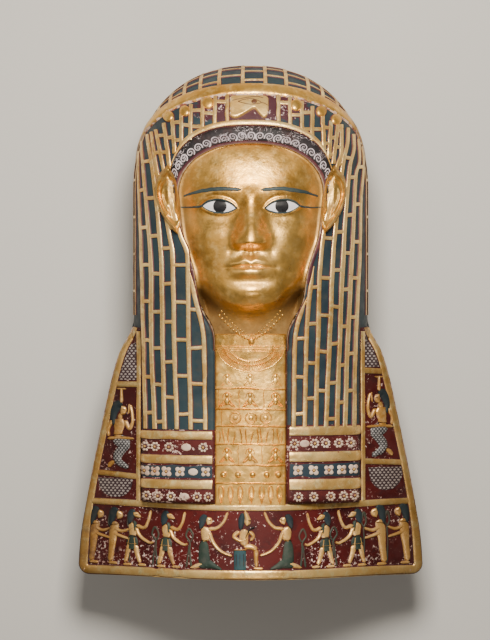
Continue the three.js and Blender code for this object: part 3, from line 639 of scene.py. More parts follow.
kohl = paintMaterial("kohl_paint", (0.020, 0.032, 0.034), (0.035, 0.05, 0.05), (0.05, 0.06, 0.055),
                     (0.30, 0.20, 0.09), 0.15, 0.5)
eyeWhite = paintMaterial("eye_white", (0.72, 0.70, 0.73), (0.62, 0.60, 0.64), (0.66, 0.62, 0.6),
                         (0.30, 0.26, 0.25), 0.05, 0.35)
irisDark = paintMaterial("iris_dark", (0.010, 0.010, 0.012), (0.02, 0.018, 0.02), (0.03, 0.03, 0.03),
                         (0.42, 0.38, 0.42), 0.35, 0.4)

# shell: wig and chest plate
shellGrid = {"across": 132, "plateStep": 2.8, "domeRows": 52, "backAcross": 84}


def rimY(turn):
    z = wrapPoint(turn, -60).z
    return shellForm["napeY"] + (shellForm["sideRimY"] - shellForm["napeY"]) * ease(35, 97, z)


def shellRows():
    form = shellForm
    hem = [form["hemY"] + d for d in (0, 0.4, 1.4, 3.0, 5.2, 8.0, 11.0)]
    start = form["hemY"] + form["corner"]
    lower = round((form["sideRimY"] - start) / shellGrid["plateStep"])
    rows = hem + [mix(start, form["sideRimY"], k / lower) for k in range(lower)]
    middle = round((form["templeY"] - form["sideRimY"]) / shellGrid["plateStep"])
    sideRow = len(rows)
    rows += [mix(form["sideRimY"], form["templeY"], k / middle) for k in range(middle)]
    reach = form["crownY"] - form["templeY"]
    rows += [form["templeY"] + reach * math.sin(k / shellGrid["domeRows"] * math.pi / 2)
             for k in range(shellGrid["domeRows"] + 1)]
    return rows, sideRow


def buildShell():
    rows, sideRow = shellRows()
    last = len(rows) - 1
    bm = bmesh.new()

    def front(u, v):
        y = rows[round(v * last)]
        return wrapPoint(mix(-math.pi / 2, math.pi / 2, u), min(y, shellForm["crownY"] - 0.02))

    def back(u, v):
        y = rows[sideRow + round(v * (last - sideRow))]
        turn = mix(math.pi / 2, 3 * math.pi / 2, u)
        if y < 40:
            y = mix(rimY(turn), 40, (y - shellForm["sideRimY"]) / (40 - shellForm["sideRimY"]))
        return wrapPoint(turn, min(y, shellForm["crownY"] - 0.02))
    plate = {face for vert in gridPatch(bm, shellGrid["across"], last, front) for face in vert.link_faces
             if face.calc_center_median().y < -0.006}
    for face in plate:
        x, y = (face.calc_center_median() / mm).xy
        rim = y < shellForm["hemY"] + 2.2 or plateOutline(-y) - abs(x) < 2.2
        face.material_index = 2 if rim else 1
    gridPatch(bm, shellGrid["backAcross"], last - sideRow, back)
    bmesh.ops.remove_doubles(bm, verts=bm.verts, dist=0.00012)
    inside = [f for f in bm.faces if f.calc_center_median().z > 0.125
              and -0.028 < f.calc_center_median().y < 0.175
              and abs(f.calc_center_median().x) < (openingHalf(f.calc_center_median().y / mm) - 0.3) * mm]
    bmesh.ops.delete(bm, geom=inside, context="FACES")
    for vert in bm.verts:
        y = vert.co.y / mm
        if vert.is_boundary and vert.co.z > 0.12 and -29 < y < 178 and abs(vert.co.x) < 0.08:
            if y < 160:
                vert.co.x = math.copysign(openingHalf(y) * mm, vert.co.x)
            else:
                share = abs(vert.co.x) / mm / openingForm["half"]
                rise = openingForm["rise"] * arc(share, openingForm["power"])
                vert.co.y = (openingForm["midY"] + rise) * mm
            vert.co.z = shellFront(vert.co.x / mm, vert.co.y / mm) * mm
    piece = newObject("wig_shell", bm, [wigBlue, groundRed, goldStrip, lining, lining, lining], 0.7)
    thick = piece.modifiers.new("wall", "SOLIDIFY")
    thick.thickness = shellForm["wall"] * mm
    thick.offset = -1
    thick.material_offset = 3
    thick.material_offset_rim = 3
    place(piece)


# edge of the wig round the face
def buildOpeningEdge():
    bm = bmesh.new()

    def outline(v, spread):
        turn = mix(-1, 1, v)
        if abs(turn) > 0.38:
            y = mix(openingForm["midY"], -24, (abs(turn) - 0.38) / 0.62)
            return math.copysign(openingSide(y) + spread, turn), y
        angle = turn / 0.38 * math.pi / 2
        power = 2 / openingForm["power"]
        x = openingForm["half"] * abs(math.sin(angle)) ** power + spread * abs(math.sin(angle))
        y = openingForm["midY"] + openingForm["rise"] * math.cos(angle) ** power + spread * math.cos(angle)
        return math.copysign(x, angle), y

    def put(u, v):
        if u < 0.5:
            x, y = outline(v, mix(3.2, 0.4, u / 0.5))
            z = shellFront(x, y) + 0.9 * math.sin(math.pi * min(u * 1.5, 0.5)) - 0.3 * (u == 0)
            return Vector((x, y, min(z, lappetTop(x, y) - 0.8) if y < 34 else z))
        x, y = outline(v, mix(0.0, -0.6, (u - 0.5) / 0.5))
        high = min(shellFront(x, y), lappetTop(x, y) - 1.2) + 0.4 if y < 34 else shellFront(x, y) + 0.4
        low = min(faceFront(x, y, False) - 2, high - 3)
        return Vector((x, y, mix(high, low, (u - 0.5) / 0.5)))

    def under(u, v):
        p = put(u, v)
        x, y = outline(v, 4.2)
        return Vector((x, y, min(p.z, shellFront(x, y)) - 3))
    verts = gridPatch(bm, 8, 150, put, under)
    for face in {face for vert in verts for face in vert.link_faces}:
        middle = face.calc_center_median() / mm
        if middle.z < shellFront(middle.x, middle.y) - 1.5:
            face.material_index = 1
    place(newObject("wig_edge", bm, [groundDark, goldLeaf], 0.8))


# face and neck
faceGrid = {"across": 200, "along": 250, "lowY": -40, "highY": 178, "reach": 2.5}


def buildFace():
    bm = bmesh.new()

    def spot(u, v):
        y = mix(faceGrid["lowY"], faceGrid["highY"], v)
        half = openingHalf(min(y, 172)) + faceGrid["reach"]
        return mix(-half, half, u), y

    def put(u, v):
        x, y = spot(u, v)
        return Vector((x, y, faceFront(x, y)))

    def hollow(u, v):
        x, y = spot(u, v)
        z = faceFront(x, y, False) - shellForm["wall"]
        for k in range(8):
            ex, ey = x + 4 * math.cos(k * math.pi / 4), y + 4 * math.sin(k * math.pi / 4)
            z = min(z, faceFront(ex, ey, False) - 1.6)
        return Vector((x, y, z))
    gridPatch(bm, faceGrid["across"], faceGrid["along"], put)
    top = set(bm.verts)
    gridPatch(bm, 60, 70, hollow)
    low = [v for v in bm.verts if v not in top]
    for v in low:
        for f in v.link_faces:
            f.material_index = 1
    edges = [e for e in bm.edges if e.is_boundary]
    bmesh.ops.bridge_loops(bm, edges=edges)
    place(newObject("face_skin", bm, [goldLeaf, lining], 0.9))


# places on the curved wig
def shellSpot(turn, y, lift=0.0):
    here = wrapPoint(turn, y)
    if lift == 0:
        return here
    sideways = wrapPoint(turn + 0.004, y) - wrapPoint(turn - 0.004, y)
    upward = wrapPoint(turn, min(y + 0.4, 255.9)) - wrapPoint(turn, y - 0.4)
    return here + sideways.cross(upward).normalized() * lift


def turnAt(x, y):
    return math.asin(min(max(x / shellHalf(y), -1.0), 1.0))


# Place over the crown: angle 0 on top, a quarter turn forward or back from it
def crownSpot(x, angle, lift=0.0):
    form = shellForm
    reach = form["crownY"] - form["templeY"]

    def place(px, a):
        share = min(abs(px) / form["halfWidth"], 0.999)
        top = (1 - share ** form["power"]) ** (1 / form["power"])
        height = top * max(math.cos(a), 0.0) ** (2 / form["power"])
        y = form["templeY"] + reach * height
        rest = max(1 - height ** form["power"] - share ** form["power"], 0.0) ** (1 / form["power"])
        if a >= 0:
            return Vector((px, y, form["midZ"] + (form["frontZ"] - form["midZ"]) * rest))
        half = form["halfWidth"] * arc(height, form["power"])
        depth = (form["midZ"] + form["backSink"]) * arc(height, form["backPower"])
        z = form["midZ"] - depth * arc(px / max(half, 0.01), form["backPower"])
        return Vector((px, y, max(z, 0.0)))
    here = place(x, angle)
    sideways = place(x + 0.3, angle) - place(x - 0.3, angle)
    along = place(x, angle + 0.01) - place(x, angle - 0.01)
    return here + sideways.cross(along).normalized() * -lift


# Path over stations (y, x), read from its first end to its last
def reliefPath(stations):
    table = through(sorted(stations))
    first, last = stations[0][0], stations[-1][0]
    return lambda v: (table(mix(first, last, v)), mix(first, last, v))


wigPoint = onSurface(wigFront)
platePoint = onSurface(shellFront)
facePoint = onSurface(faceFront)


# fillet round the head
filletForm = {"slope": 0.807, "upper": 111.3, "lower": 89.9, "lift": 2.6, "steps": 260, "across": 14,
              "lowest": 60.0, "highest": 255.9}


def filletY(turn, offset):
    low, high = filletForm["lowest"], filletForm["highest"]
    for _ in range(30):
        middle = (low + high) / 2
        if middle - filletForm["slope"] * wrapPoint(turn, middle).z < offset:
            low = middle
        else:
            high = middle
    return low


def filletSpot(turn, share, lift):
    offset = mix(filletForm["lower"], filletForm["upper"], share)
    return shellSpot(turn, filletY(turn, offset), lift)


def buildFillet():
    bm = bmesh.new()

    def put(u, v):
        turn = -math.pi + 2 * math.pi * v
        s = mix(-1, 1, min(u / 0.8, 1.0)) if u <= 0.8 else mix(1, -1, (u - 0.8) / 0.2)
        rough = 0.25 * noise.noise(Vector((turn * 14, s, 3))) + 0.2 * noise.noise(Vector((turn * 40, s, 7)))
        share = 0.5 + 0.5 * s + (0.035 * noise.noise(Vector((turn * 22, s * 3, 1))) if abs(s) > 0.8 else 0)
        thin = 0.35 if abs(turn) > 2.0 else 1.0
        lift = filletForm["lift"] * thin * (1 - abs(s) ** 5) + rough * thin if u <= 0.8 else -0.6
        return filletSpot(turn, share, max(lift, -0.6) if abs(s) < 0.99 else -0.2)
    closeTube(bm, gridPatch(bm, filletForm["across"], filletForm["steps"], put))
    place(newObject("fillet", bm, [goldFillet], 1.2))


# gold lattice of the hair: strips and staggered crossbars
latticeForm = {"half": 2.8, "sideHalf": 2.3, "shortHalf": 2.5, "lift": 1.5, "barHalf": 2.5, "pitch": 37,
               "shortPitch": 17, "step": 3.0}
leftLines = [
    [(228, -23.3), (196, -23.3)], [(225, -35), (192, -35.6)], [(221, -47.2), (186, -47.8)],
    [(214, -59), (178, -59.5)], [(208, -68.5), (172, -68)], [(201, -77.5), (165, -75)],
    [(196, -86), (172, -82.5), (150, -80)],
    [(190, -94), (159, -88), (126, -80), (84, -69), (66, -62.5), (-19, -61), (-107, -59.1)],
    [(188, -98.5), (152, -93.5), (84, -80), (66, -77), (-19, -75.3), (-107, -73.2)],
    [(186, -103), (141, -96), (66, -88.3), (-19, -87), (-107, -85.4)],
    [(180, -109), (165, -108), (123, -104), (66, -99), (-19, -98.3), (-107, -95)],
    [(170, -112.5), (126, -111), (66, -108.3), (-19, -106.5), (-107, -104.5)],
]
leftInner = [[(52, -60.5), (34, -57), (16, -53), (0, -48.5), (-19, -46.3), (-107, -44.8)]]
rightLines = [
    [(226, 27), (196, 27)], [(222, 38.3), (190, 38.5)], [(217, 50), (184, 50)], [(212, 60.5), (177, 60)],
    [(204, 70.5), (168, 72)], [(198, 79), (160, 76.7)], [(196, 86), (155, 81)],
    [(195, 89.5), (164, 89), (155, 85.5), (120, 78), (66, 68.7), (-19, 66), (-105, 64)],
    [(192, 96.5), (176, 95.5), (157, 91), (66, 81), (-19, 77.5), (-105, 74)],
    [(186, 102), (170, 101.7), (154, 98), (66, 91), (-19, 87.5), (-105, 85)],
    [(182, 107), (159, 107.8), (146, 104), (66, 100), (-19, 95.5), (-105, 93)],
    [(176, 111.7), (155, 112), (117, 109), (66, 108), (-19, 103.7), (-105, 102.5)],
]
rightInner = [[(54, 61.5), (36, 59), (16, 56.5), (-19, 54.5), (-105, 53)],
              [(24, 55.3), (10, 50), (-4, 45.5), (-19, 43.3), (-105, 42)]]
crownForm = {"back": -1.12, "half": 2.3, "barTurn": 0.021, "bars": 9}
sideForm = {"first": 1.36, "last": 2.6, "gap": 12.5, "halfTurn": 0.021, "barHalf": 2.0, "frontTurn": 1.72}
crownStarts = [-103, -92, -80, -66, -50, -31.4, -8, 14.3, 35, 57, 71.4, 86, 96, 104]


def hairPoint(x, y, lift):
    if y < 20:
        return wigPoint(x, y, lift)
    return shellSpot(turnAt(x, y), y, lift)


def filletFoot(x):
    y = 236.0
    while y > 120 and y - filletForm["slope"] * wigFront(x, y) > filletForm["lower"] + 2:
        y -= 0.5
    return y


def lineFrom(stations):
    top = min(stations[0][0], filletFoot(stations[0][1]))
    return reliefPath([(top, stations[0][1])] + [pair for pair in stations[1:] if pair[0] < top - 1])


def frontLattice(bm):
    for lines, inner in ((leftLines, leftInner), (rightLines, rightInner)):
        paths = [lineFrom(line) for line in lines]
        for path, line in zip(paths, lines):
            steps = max(int(abs(path(0)[1] - path(1)[1]) / latticeForm["step"]), 4)
            wide = latticeForm["shortHalf"] if line[-1][0] > 140 else None

            def width(v, path=path, wide=wide):
                x, y = path(v)
                swell = mix(latticeForm["sideHalf"], latticeForm["half"], 1 - ease(40, 110, y))
                return wide or swell * (1 - 0.25 * ease(98, 112, abs(x)))
            ridge(bm, path, width, latticeForm["lift"], hairPoint, steps, across=8, edge=1)
        for line in inner:
            path = reliefPath(line)
            steps = int(abs(path(0)[1] - path(1)[1]) / latticeForm["step"])
            ridge(bm, path, lambda v: latticeForm["half"] * ease(-0.04, 0.16, v), latticeForm["lift"],
                  hairPoint, steps, across=8, edge=1)
        longOnes = sorted((line for line in lines + inner if line[-1][0] < -50),
                          key=lambda line: abs(through(sorted(line))(0)))
        shortOnes = sorted((line for line in lines if line[-1][0] > 100), key=lambda line: abs(line[0][1]))
        for k, (a, b) in enumerate(zip(longOnes, longOnes[1:])):
            drift = 0.12 * noise.noise(Vector((k, 3, a[0][1])))
            crossbars(bm, a, b, latticeForm["pitch"], (k % 2) * 0.5 + drift)
        chain = shortOnes + [longOnes[-5]]
        for k, (a, b) in enumerate(zip(chain, chain[1:])):
            crossbars(bm, a, b, latticeForm["shortPitch"], (k % 2) * 0.5 + 0.2)


def crossbars(bm, a, b, pitch, phase):
    lineA, lineB = through(sorted(a)), through(sorted(b))
    top = min(filletFoot(a[0][1]), filletFoot(b[0][1]), a[0][0], b[0][0]) - 3
    foot = max(a[-1][0], b[-1][0]) + 3
    count = int((top - foot) / pitch) + 2
    for k in range(count):
        y = top - (k + phase) * pitch + 2.5 * noise.noise(Vector((k * 3.1, a[0][1], 5)))
        if not foot < y < top:
            continue
        xa, xb = lineA(y), lineB(y)
        lean = random.uniform(-1.2, 1.2)

        def path(v, xa=xa, xb=xb, y=y, lean=lean):
            return mix(xa, xb, v), y + lean * (v - 0.5)
        ridge(bm, path, latticeForm["barHalf"], latticeForm["lift"] * 0.85, hairPoint, 4, across=6, edge=1,
              wobble=0.15)


def crownLattice(bm):
    ends = []
    for start in crownStarts:
        angle = 1.35
        while angle > 0:
            spot = crownSpot(start, angle)
            if spot.y - filletForm["slope"] * spot.z > filletForm["upper"] - 2:
                break
            angle -= 0.01
        ends.append(angle)

    def curve(index, v):
        return crownStarts[index] * mix(1.0, 0.82, ease(0, 0.9, v)), mix(ends[index], crownForm["back"], v)

    def strip(get, half, lift, steps):
        def put(u, v):
            x, angle = get(v)
            s = 2 * u - 1
            wide = half * (1 + 0.12 * noise.noise(Vector((v * 30, x, 2))))
            return crownSpot(x + s * wide, angle, lift * (1 - abs(s) ** 4) - 0.15 * abs(s) ** 4)

        def under(u, v):
            x, angle = get(v)
            return crownSpot(x + (2 * u - 1) * half, angle, -0.8)
        gridPatch(bm, 8, steps, put, under, 0, 1)
    for index in range(len(crownStarts)):
        strip(lambda v, index=index: curve(index, v), crownForm["half"], latticeForm["lift"], 70)
    tall, bars = crownForm["barTurn"], crownForm["bars"]
    for index in range(len(crownStarts) - 1):
        for k in range(bars):
            v = (k + 0.35 + 0.5 * (index % 2)) / bars * 0.97
            (xa, a), (xb, b) = curve(index, v), curve(index + 1, v)

            def put(u, w, xa=xa, xb=xb, a=a, b=b):
                s = 2 * u - 1
                return crownSpot(mix(xa, xb, w), mix(a, b, w) + s * tall,
                                 latticeForm["lift"] * 0.85 * (1 - abs(s) ** 4) - 0.15 * abs(s) ** 4)

            def under(u, w, xa=xa, xb=xb, a=a, b=b):
                return crownSpot(mix(xa, xb, w), mix(a, b, w) + (2 * u - 1) * tall, -0.8)
            gridPatch(bm, 6, 5, put, under, 0, 1)


def sideLattice(bm):
    turns = []
    turn, last = sideForm["first"], shellSpot(sideForm["first"], 80)
    while turn < sideForm["last"] and last.z > 14:
        turns.append(turn)
        while turn < sideForm["last"] + 0.1 and (shellSpot(turn, 80) - last).length < sideForm["gap"]:
            turn += 0.01
        last = shellSpot(turn, 80)
    for side in (-1, 1):
        for k, turn in enumerate(turns):
            top = filletY(turn, filletForm["lower"] + 1)
            low = rimY(turn) + 4 if turn > sideForm["frontTurn"] else 6

            def put(u, v, turn=turn, top=top, low=low):
                s = 2 * u - 1
                y = mix(top, low, v)
                return shellSpot(side * (turn + s * sideForm["halfTurn"]), y,
                                 latticeForm["lift"] * 0.8 * (1 - abs(s) ** 4) - 0.1)

            def under(u, v, turn=turn, top=top, low=low):
                return shellSpot(side * (turn + (2 * u - 1) * sideForm["halfTurn"]), mix(top, low, v), -0.8)
            gridPatch(bm, 6, 70, put, under, 0, 1)
            if k + 1 == len(turns):
                continue
            turnB = turns[k + 1]
            for n in range(8):
                y = top - 10 - (n + 0.5 * (k % 2)) * latticeForm["pitch"]
                if y < low + 8:
                    continue

                def putBar(u, v, turn=turn, turnB=turnB, y=y):
                    s = 2 * u - 1
                    return shellSpot(side * mix(turn, turnB, v), y + s * sideForm["barHalf"],
                                     latticeForm["lift"] * 0.7 * (1 - abs(s) ** 4) - 0.1)

                def underBar(u, v, turn=turn, turnB=turnB, y=y):
                    return shellSpot(side * mix(turn, turnB, v), y + (2 * u - 1) * sideForm["barHalf"], -0.8)
                gridPatch(bm, 5, 4, putBar, underBar, 0, 1)


def buildLattice():
    bm = bmesh.new()
    frontLattice(bm)
    crownLattice(bm)
    sideLattice(bm)
    place(newObject("hair_lattice", bm, [goldStrip, groundDark], 1.0))


# arches over the brow
archForm = {"curlHalf": 81, "curlRise": 67, "thinHalf": 84, "thinRise": 73, "power": 2.6, "curlLift": 3.4,
            "thinLift": 2.4, "curls": 23}


def archSpot(half, rise, power, angle):
    x = math.copysign(half * abs(math.sin(angle)) ** (2 / power), angle)
    return x, openingForm["midY"] + rise * max(math.cos(angle), 0.0) ** (2 / power)


def curlSpot(angle, share, lift):
    xa, ya = archSpot(openingForm["half"] + 0.6, openingForm["rise"] + 0.6, openingForm["power"], angle)
    xb, yb = archSpot(archForm["curlHalf"], archForm["curlRise"], archForm["power"], angle)
    return wigPoint(mix(xa, xb, share), mix(ya, yb, share), lift)


def curlHeight(angle):
    return archForm["curlLift"] * (1 - 0.75 * ease(1.2, 1.5, abs(angle)))


def thinSpot(angle, share, lift):
    xa, ya = archSpot(archForm["curlHalf"] - 0.4, archForm["curlRise"] - 0.4, archForm["power"], angle)
    xb, yb = archSpot(archForm["thinHalf"], archForm["thinRise"], archForm["power"], angle)
    taper = 1 - 0.75 * ease(0.8, 1.25, abs(angle))
    return wigPoint(mix(xa, mix(xa, xb, taper), share), mix(ya, mix(ya, yb, taper), share), lift)


def buildArches():
    bm = bmesh.new()

    def curl(u, v):
        s = 2 * u - 1
        angle = mix(-1.565, 1.565, v)
        chip = 0.5 * noise.noise(Vector((angle * 30, u * 5, 2)))
        return curlSpot(angle, u, curlHeight(angle) * (1 - abs(s) ** 6) + chip * (1 - abs(s)))
    gridPatch(bm, 14, 200, curl, lambda u, v: curlSpot(mix(-1.565, 1.565, v), u, -1.0), 0, 3)

    def thin(u, v):
        s = 2 * u - 1
        return thinSpot(mix(-1.3, 1.3, v), u, archForm["thinLift"] * (1 - abs(s) ** 4))
    gridPatch(bm, 8, 150, thin, lambda u, v: thinSpot(mix(-1.3, 1.3, v), u, -1.0), 2, 3)
    lengths = [0.0]
    marks = [mix(-1.5, 1.5, k / 300) for k in range(301)]
    for a, b in zip(marks, marks[1:]):
        lengths.append(lengths[-1] + (curlSpot(b, 0.35, 0) - curlSpot(a, 0.35, 0)).length)

    def angleAt(length):
        k = 0
        while k < 299 and lengths[k + 1] < length:
            k += 1
        share = (length - lengths[k]) / max(lengths[k + 1] - lengths[k], 1e-6)
        return mix(marks[k], marks[k + 1], share)
    pitch = lengths[-1] / archForm["curls"]
    for k in range(archForm["curls"]):
        centre = (k + 0.5) * pitch
        angle = angleAt(centre)
        width = (curlSpot(angle, 1, 0) - curlSpot(angle, 0, 0)).length
        radius = min(0.5 * pitch, 0.42 * width + 0.6)
        row = min(radius * 1.1 / width + 0.03, 0.5)
        facing = 1 if centre > lengths[-1] / 2 else -1

        def flat(t, centre=centre, radius=radius, width=width, row=row, facing=facing, k=k):
            sweep = mix(0.2, 3.3 * math.pi, t) + 0.4 * math.sin(k * 2.3)
            r = radius * mix(0.12, 1.0, t)
            return facing * r * math.cos(sweep), r * math.sin(sweep) / width

        def put(u, v, centre=centre, row=row, flat=flat, width=width):
            along, across = flat(v)
            a2, c2 = flat(min(v + 0.01, 1.0))
            a1, c1 = flat(max(v - 0.01, 0.0))
            dx, dy = a2 - a1, (c2 - c1) * width
            size = math.hypot(dx, dy) or 1
            s = 2 * u - 1
            half = 0.62 * (0.7 + 0.5 * v)
            share = min(max(row + across + s * half * dx / size / width, 0.02), 0.98)
            angle = angleAt(centre + along - s * half * dy / size)
            return curlSpot(angle, share, curlHeight(angle) + 0.75 * (1 - s * s) - 0.1)

        def under(u, v, centre=centre, row=row, flat=flat, width=width):
            along, across = flat(v)
            share = min(max(row + across, 0.02), 0.98)
            s = 2 * u - 1
            angle = angleAt(centre + along + 0.2 * s)
            return curlSpot(angle, share, curlHeight(angle) - 1.0)
        gridPatch(bm, 4, 26, put, under, 1)
    place(newObject("hair_arches", bm, [curlBlack, curlWhite, goldStrip, groundDark], 1.0))


# eye plaque and discs
plaqueForm = {"left": -21, "right": 17.5, "lift": 3.6}


def buildPlaque():
    bm = bmesh.new()
    foot = through([(-21, 202), (-18, 199.4), (-12, 200), (-4, 204.5), (2, 208.3), (4, 208.3), (8, 203.5),
                    (12, 199.6), (15, 200.4), (17.5, 204)])
    top = through([(-21, 219), (-18.5, 221.2), (-4, 222), (10, 221.6), (15, 220.8), (17.5, 218)])
    outlinePatch(bm, foot, top, plaqueForm["left"], plaqueForm["right"], plaqueForm["lift"], wigPoint,
                 44, 24, 1.6, 1.0)
    surface = plaqueForm["lift"] - 0.05
    strokes = [
        [(-18, 215.6), (-11, 217.2), (-2, 218.8), (6, 219.4), (12, 218.2)],
        [(-12.5, 214.6), (-6, 216.6), (1, 217.2), (6.5, 215.8), (10.5, 213.4)],
        [(-12.5, 214.6), (-6, 212.6), (0, 211.9), (6, 212.2), (10.5, 213.4)],
        [(10.5, 213.4), (13.5, 212.6), (16, 211)],
    ]
    for stroke in strokes:
        curve = through([(k / (len(stroke) - 1), p[0]) for k, p in enumerate(stroke)])
        rise = through([(k / (len(stroke) - 1), p[1]) for k, p in enumerate(stroke)])
        ridge(bm, lambda v, curve=curve, rise=rise: (curve(v), rise(v)), 0.42, 0.3,
              lambda x, y, lift: wigPoint(x, y, surface + lift), 24, 1, across=4, sink=0.3, wobble=0.1)
    dome(bm, 3.2, 214.6, 2.9, 2.1, 0.5, lambda x, y, lift: wigPoint(x, y, surface + lift), 1)
    for x, y in [(-81.3, 202.8), (-64.9, 207.4), (-42, 215.1), (44.5, 212.8), (69.3, 207.4), (84.3, 199.8)]:
        size = 5.7 if abs(x) < 50 else 5.2
        dome(bm, x, y, size + 0.9, size + 1.1, 0.7, wigPoint, 2, power=5)
        dome(bm, x, y, size, size * 1.08, 3.6, wigPoint, 3, power=2.8, around=24, rings=8)
    place(newObject("eye_plaque", bm, [goldPale, linePaint, groundDark, goldRelief], 1.1))


# ears
earForm = {"lowY": 84, "highY": 154, "relief": 8.28, "bowl": 3.0}


def buildEar(side):
    bm = bmesh.new()
    outer = through([(0, 73), (0.1, 79.5), (0.3, 88.5), (0.6, 95), (0.85, 93.5), (1, 84)])
    inner = through([(0, 71), (0.1, 68), (0.3, 69), (0.6, 71.5), (0.85, 73.5), (1, 80)])
    middle = Vector((81, 121))

    def rimSpot(angle):
        v = 0.5 + 0.5 * math.sin(angle)
        reach = abs(math.cos(angle)) ** 0.35
        bound = outer(v) if math.cos(angle) > 0 else inner(v)
        centre = (outer(v) + inner(v)) / 2
        return Vector((mix(centre, bound, reach), mix(earForm["lowY"], earForm["highY"], v)))

    def put(u, v):
        angle = 2 * math.pi * u
        edge = rimSpot(angle)
        spot = middle.lerp(edge, v)
        x, y = spot
        high = math.sin(angle)
        outward = math.cos(angle)
        helix = ease(-0.75, -0.1, high) if outward < 0.3 else 1.0
        helix = max(helix, ease(-0.3, 0.4, outward))
        z = earForm["relief"] * bell(v - 0.84, 0.13) * (0.45 + 0.55 * helix)
        z += 3.4 * bell(v - 0.5, 0.13) * ease(0.1, 0.6, outward + 0.3 * high)
        z += 4.5 * bell(x - 71.5, 4) * bell(y - 110, 8)
        z += 5.0 * bell(y - 92, 7) * bell(x - 76, 7)
        z += 2.0 * (1 - v) + 1.5
        z = max(z, earForm["bowl"]) * (1 - ease(0.93, 1.0, v))
        base = min(wigFront(x, y), wigFront(84, y) + 1.5)
        return Vector((side * x, y, base + z + 2.2 * ease(0, 1, (95 - x) / 25) - 0.5))

    closeTube(bm, gridPatch(bm, 72, 26, put), 0.00003)
    edges = [e for e in bm.edges if e.is_boundary]
    grown = bmesh.ops.extrude_edge_only(bm, edges=edges)["geom"]
    lowest = [item for item in grown if isinstance(item, bmesh.types.BMVert)]
    for vert in lowest:
        vert.co.z = (wigFront(vert.co.x / mm, vert.co.y / mm) - 3.5) * mm
    lowSet = set(lowest)
    loop = [e for e in bm.edges if e.is_boundary and all(w in lowSet for w in e.verts)]
    bmesh.ops.edgeloop_fill(bm, edges=loop)
    place(newObject("ear_left" if side < 0 else "ear_right", bm, [shadedGoldEar], 1.2))


# lappets and their hem bands
lappetForm = {"inner": 36.5, "outer": 109, "hemY": -181, "topY": 30, "roll": 8, "edge": 5}
lappetBands = {
    -1: {"bars": [(-108, -118), (-131.7, -142), (-156, -167)],
         "red": [(-118.3, -131.3), (-167.3, -180)], "blue": [(-142.2, -155.8)],
         "redX": [-105, -95, -81, -64, -47], "redLost": [3],
         "blueX": [-105.5, -95, -83.5, -70, -57, -44.5], "blueLost": [4],
         "lowX": [-103.5, -92, -79, -66, -53, -42], "lowLost": [3]},
    1: {"bars": [(-103, -114), (-128, -140), (-155, -168)],
        "red": [(-114.3, -127.7), (-168.3, -179)], "blue": [(-140.3, -154.7)],
        "redX": [43, 53, 63, 74, 87, 99], "redLost": [1],
        "blueX": [46.5, 62, 77, 90, 102], "blueLost": [],
        "lowX": [47, 62, 79, 92, 103], "lowLost": []},
}
# petals, their reach, length and width, the dark collar's size and the heart's
blossoms = {"blue": (4, 3.0, 2.9, 2.5, 2.3, 1.5), "red": (8, 3.5, 1.5, 1.3, 2.1, 1.4)}


def lappetInner(y):
    return max(lappetForm["inner"] - (1.5 if y < 0 else 0), openingSide(min(y, 60)) + 0.4 if y > -30 else 0)


def lappetTop(x, y):
    side = abs(x)
    inner, outer = lappetInner(y), lappetForm["outer"]
    fromEdge = min(side - inner, outer - side)
    edge = lappetForm["edge"] * (1 - arc(1 - min(max(fromEdge, 0.0) / lappetForm["edge"], 1.0), 2.5))
    into = min(max((y - lappetForm["hemY"]) / lappetForm["roll"], 0.0), 1.0)
    roll = lappetForm["roll"] * (1 - arc(1 - into, 2.2))
    fade = 1 - ease(-20, lappetForm["topY"], y)
    return wigFront(x, y) - edge * (fade if outer - side < side - inner else 1) - roll


lappetPoint = onSurface(lappetTop)


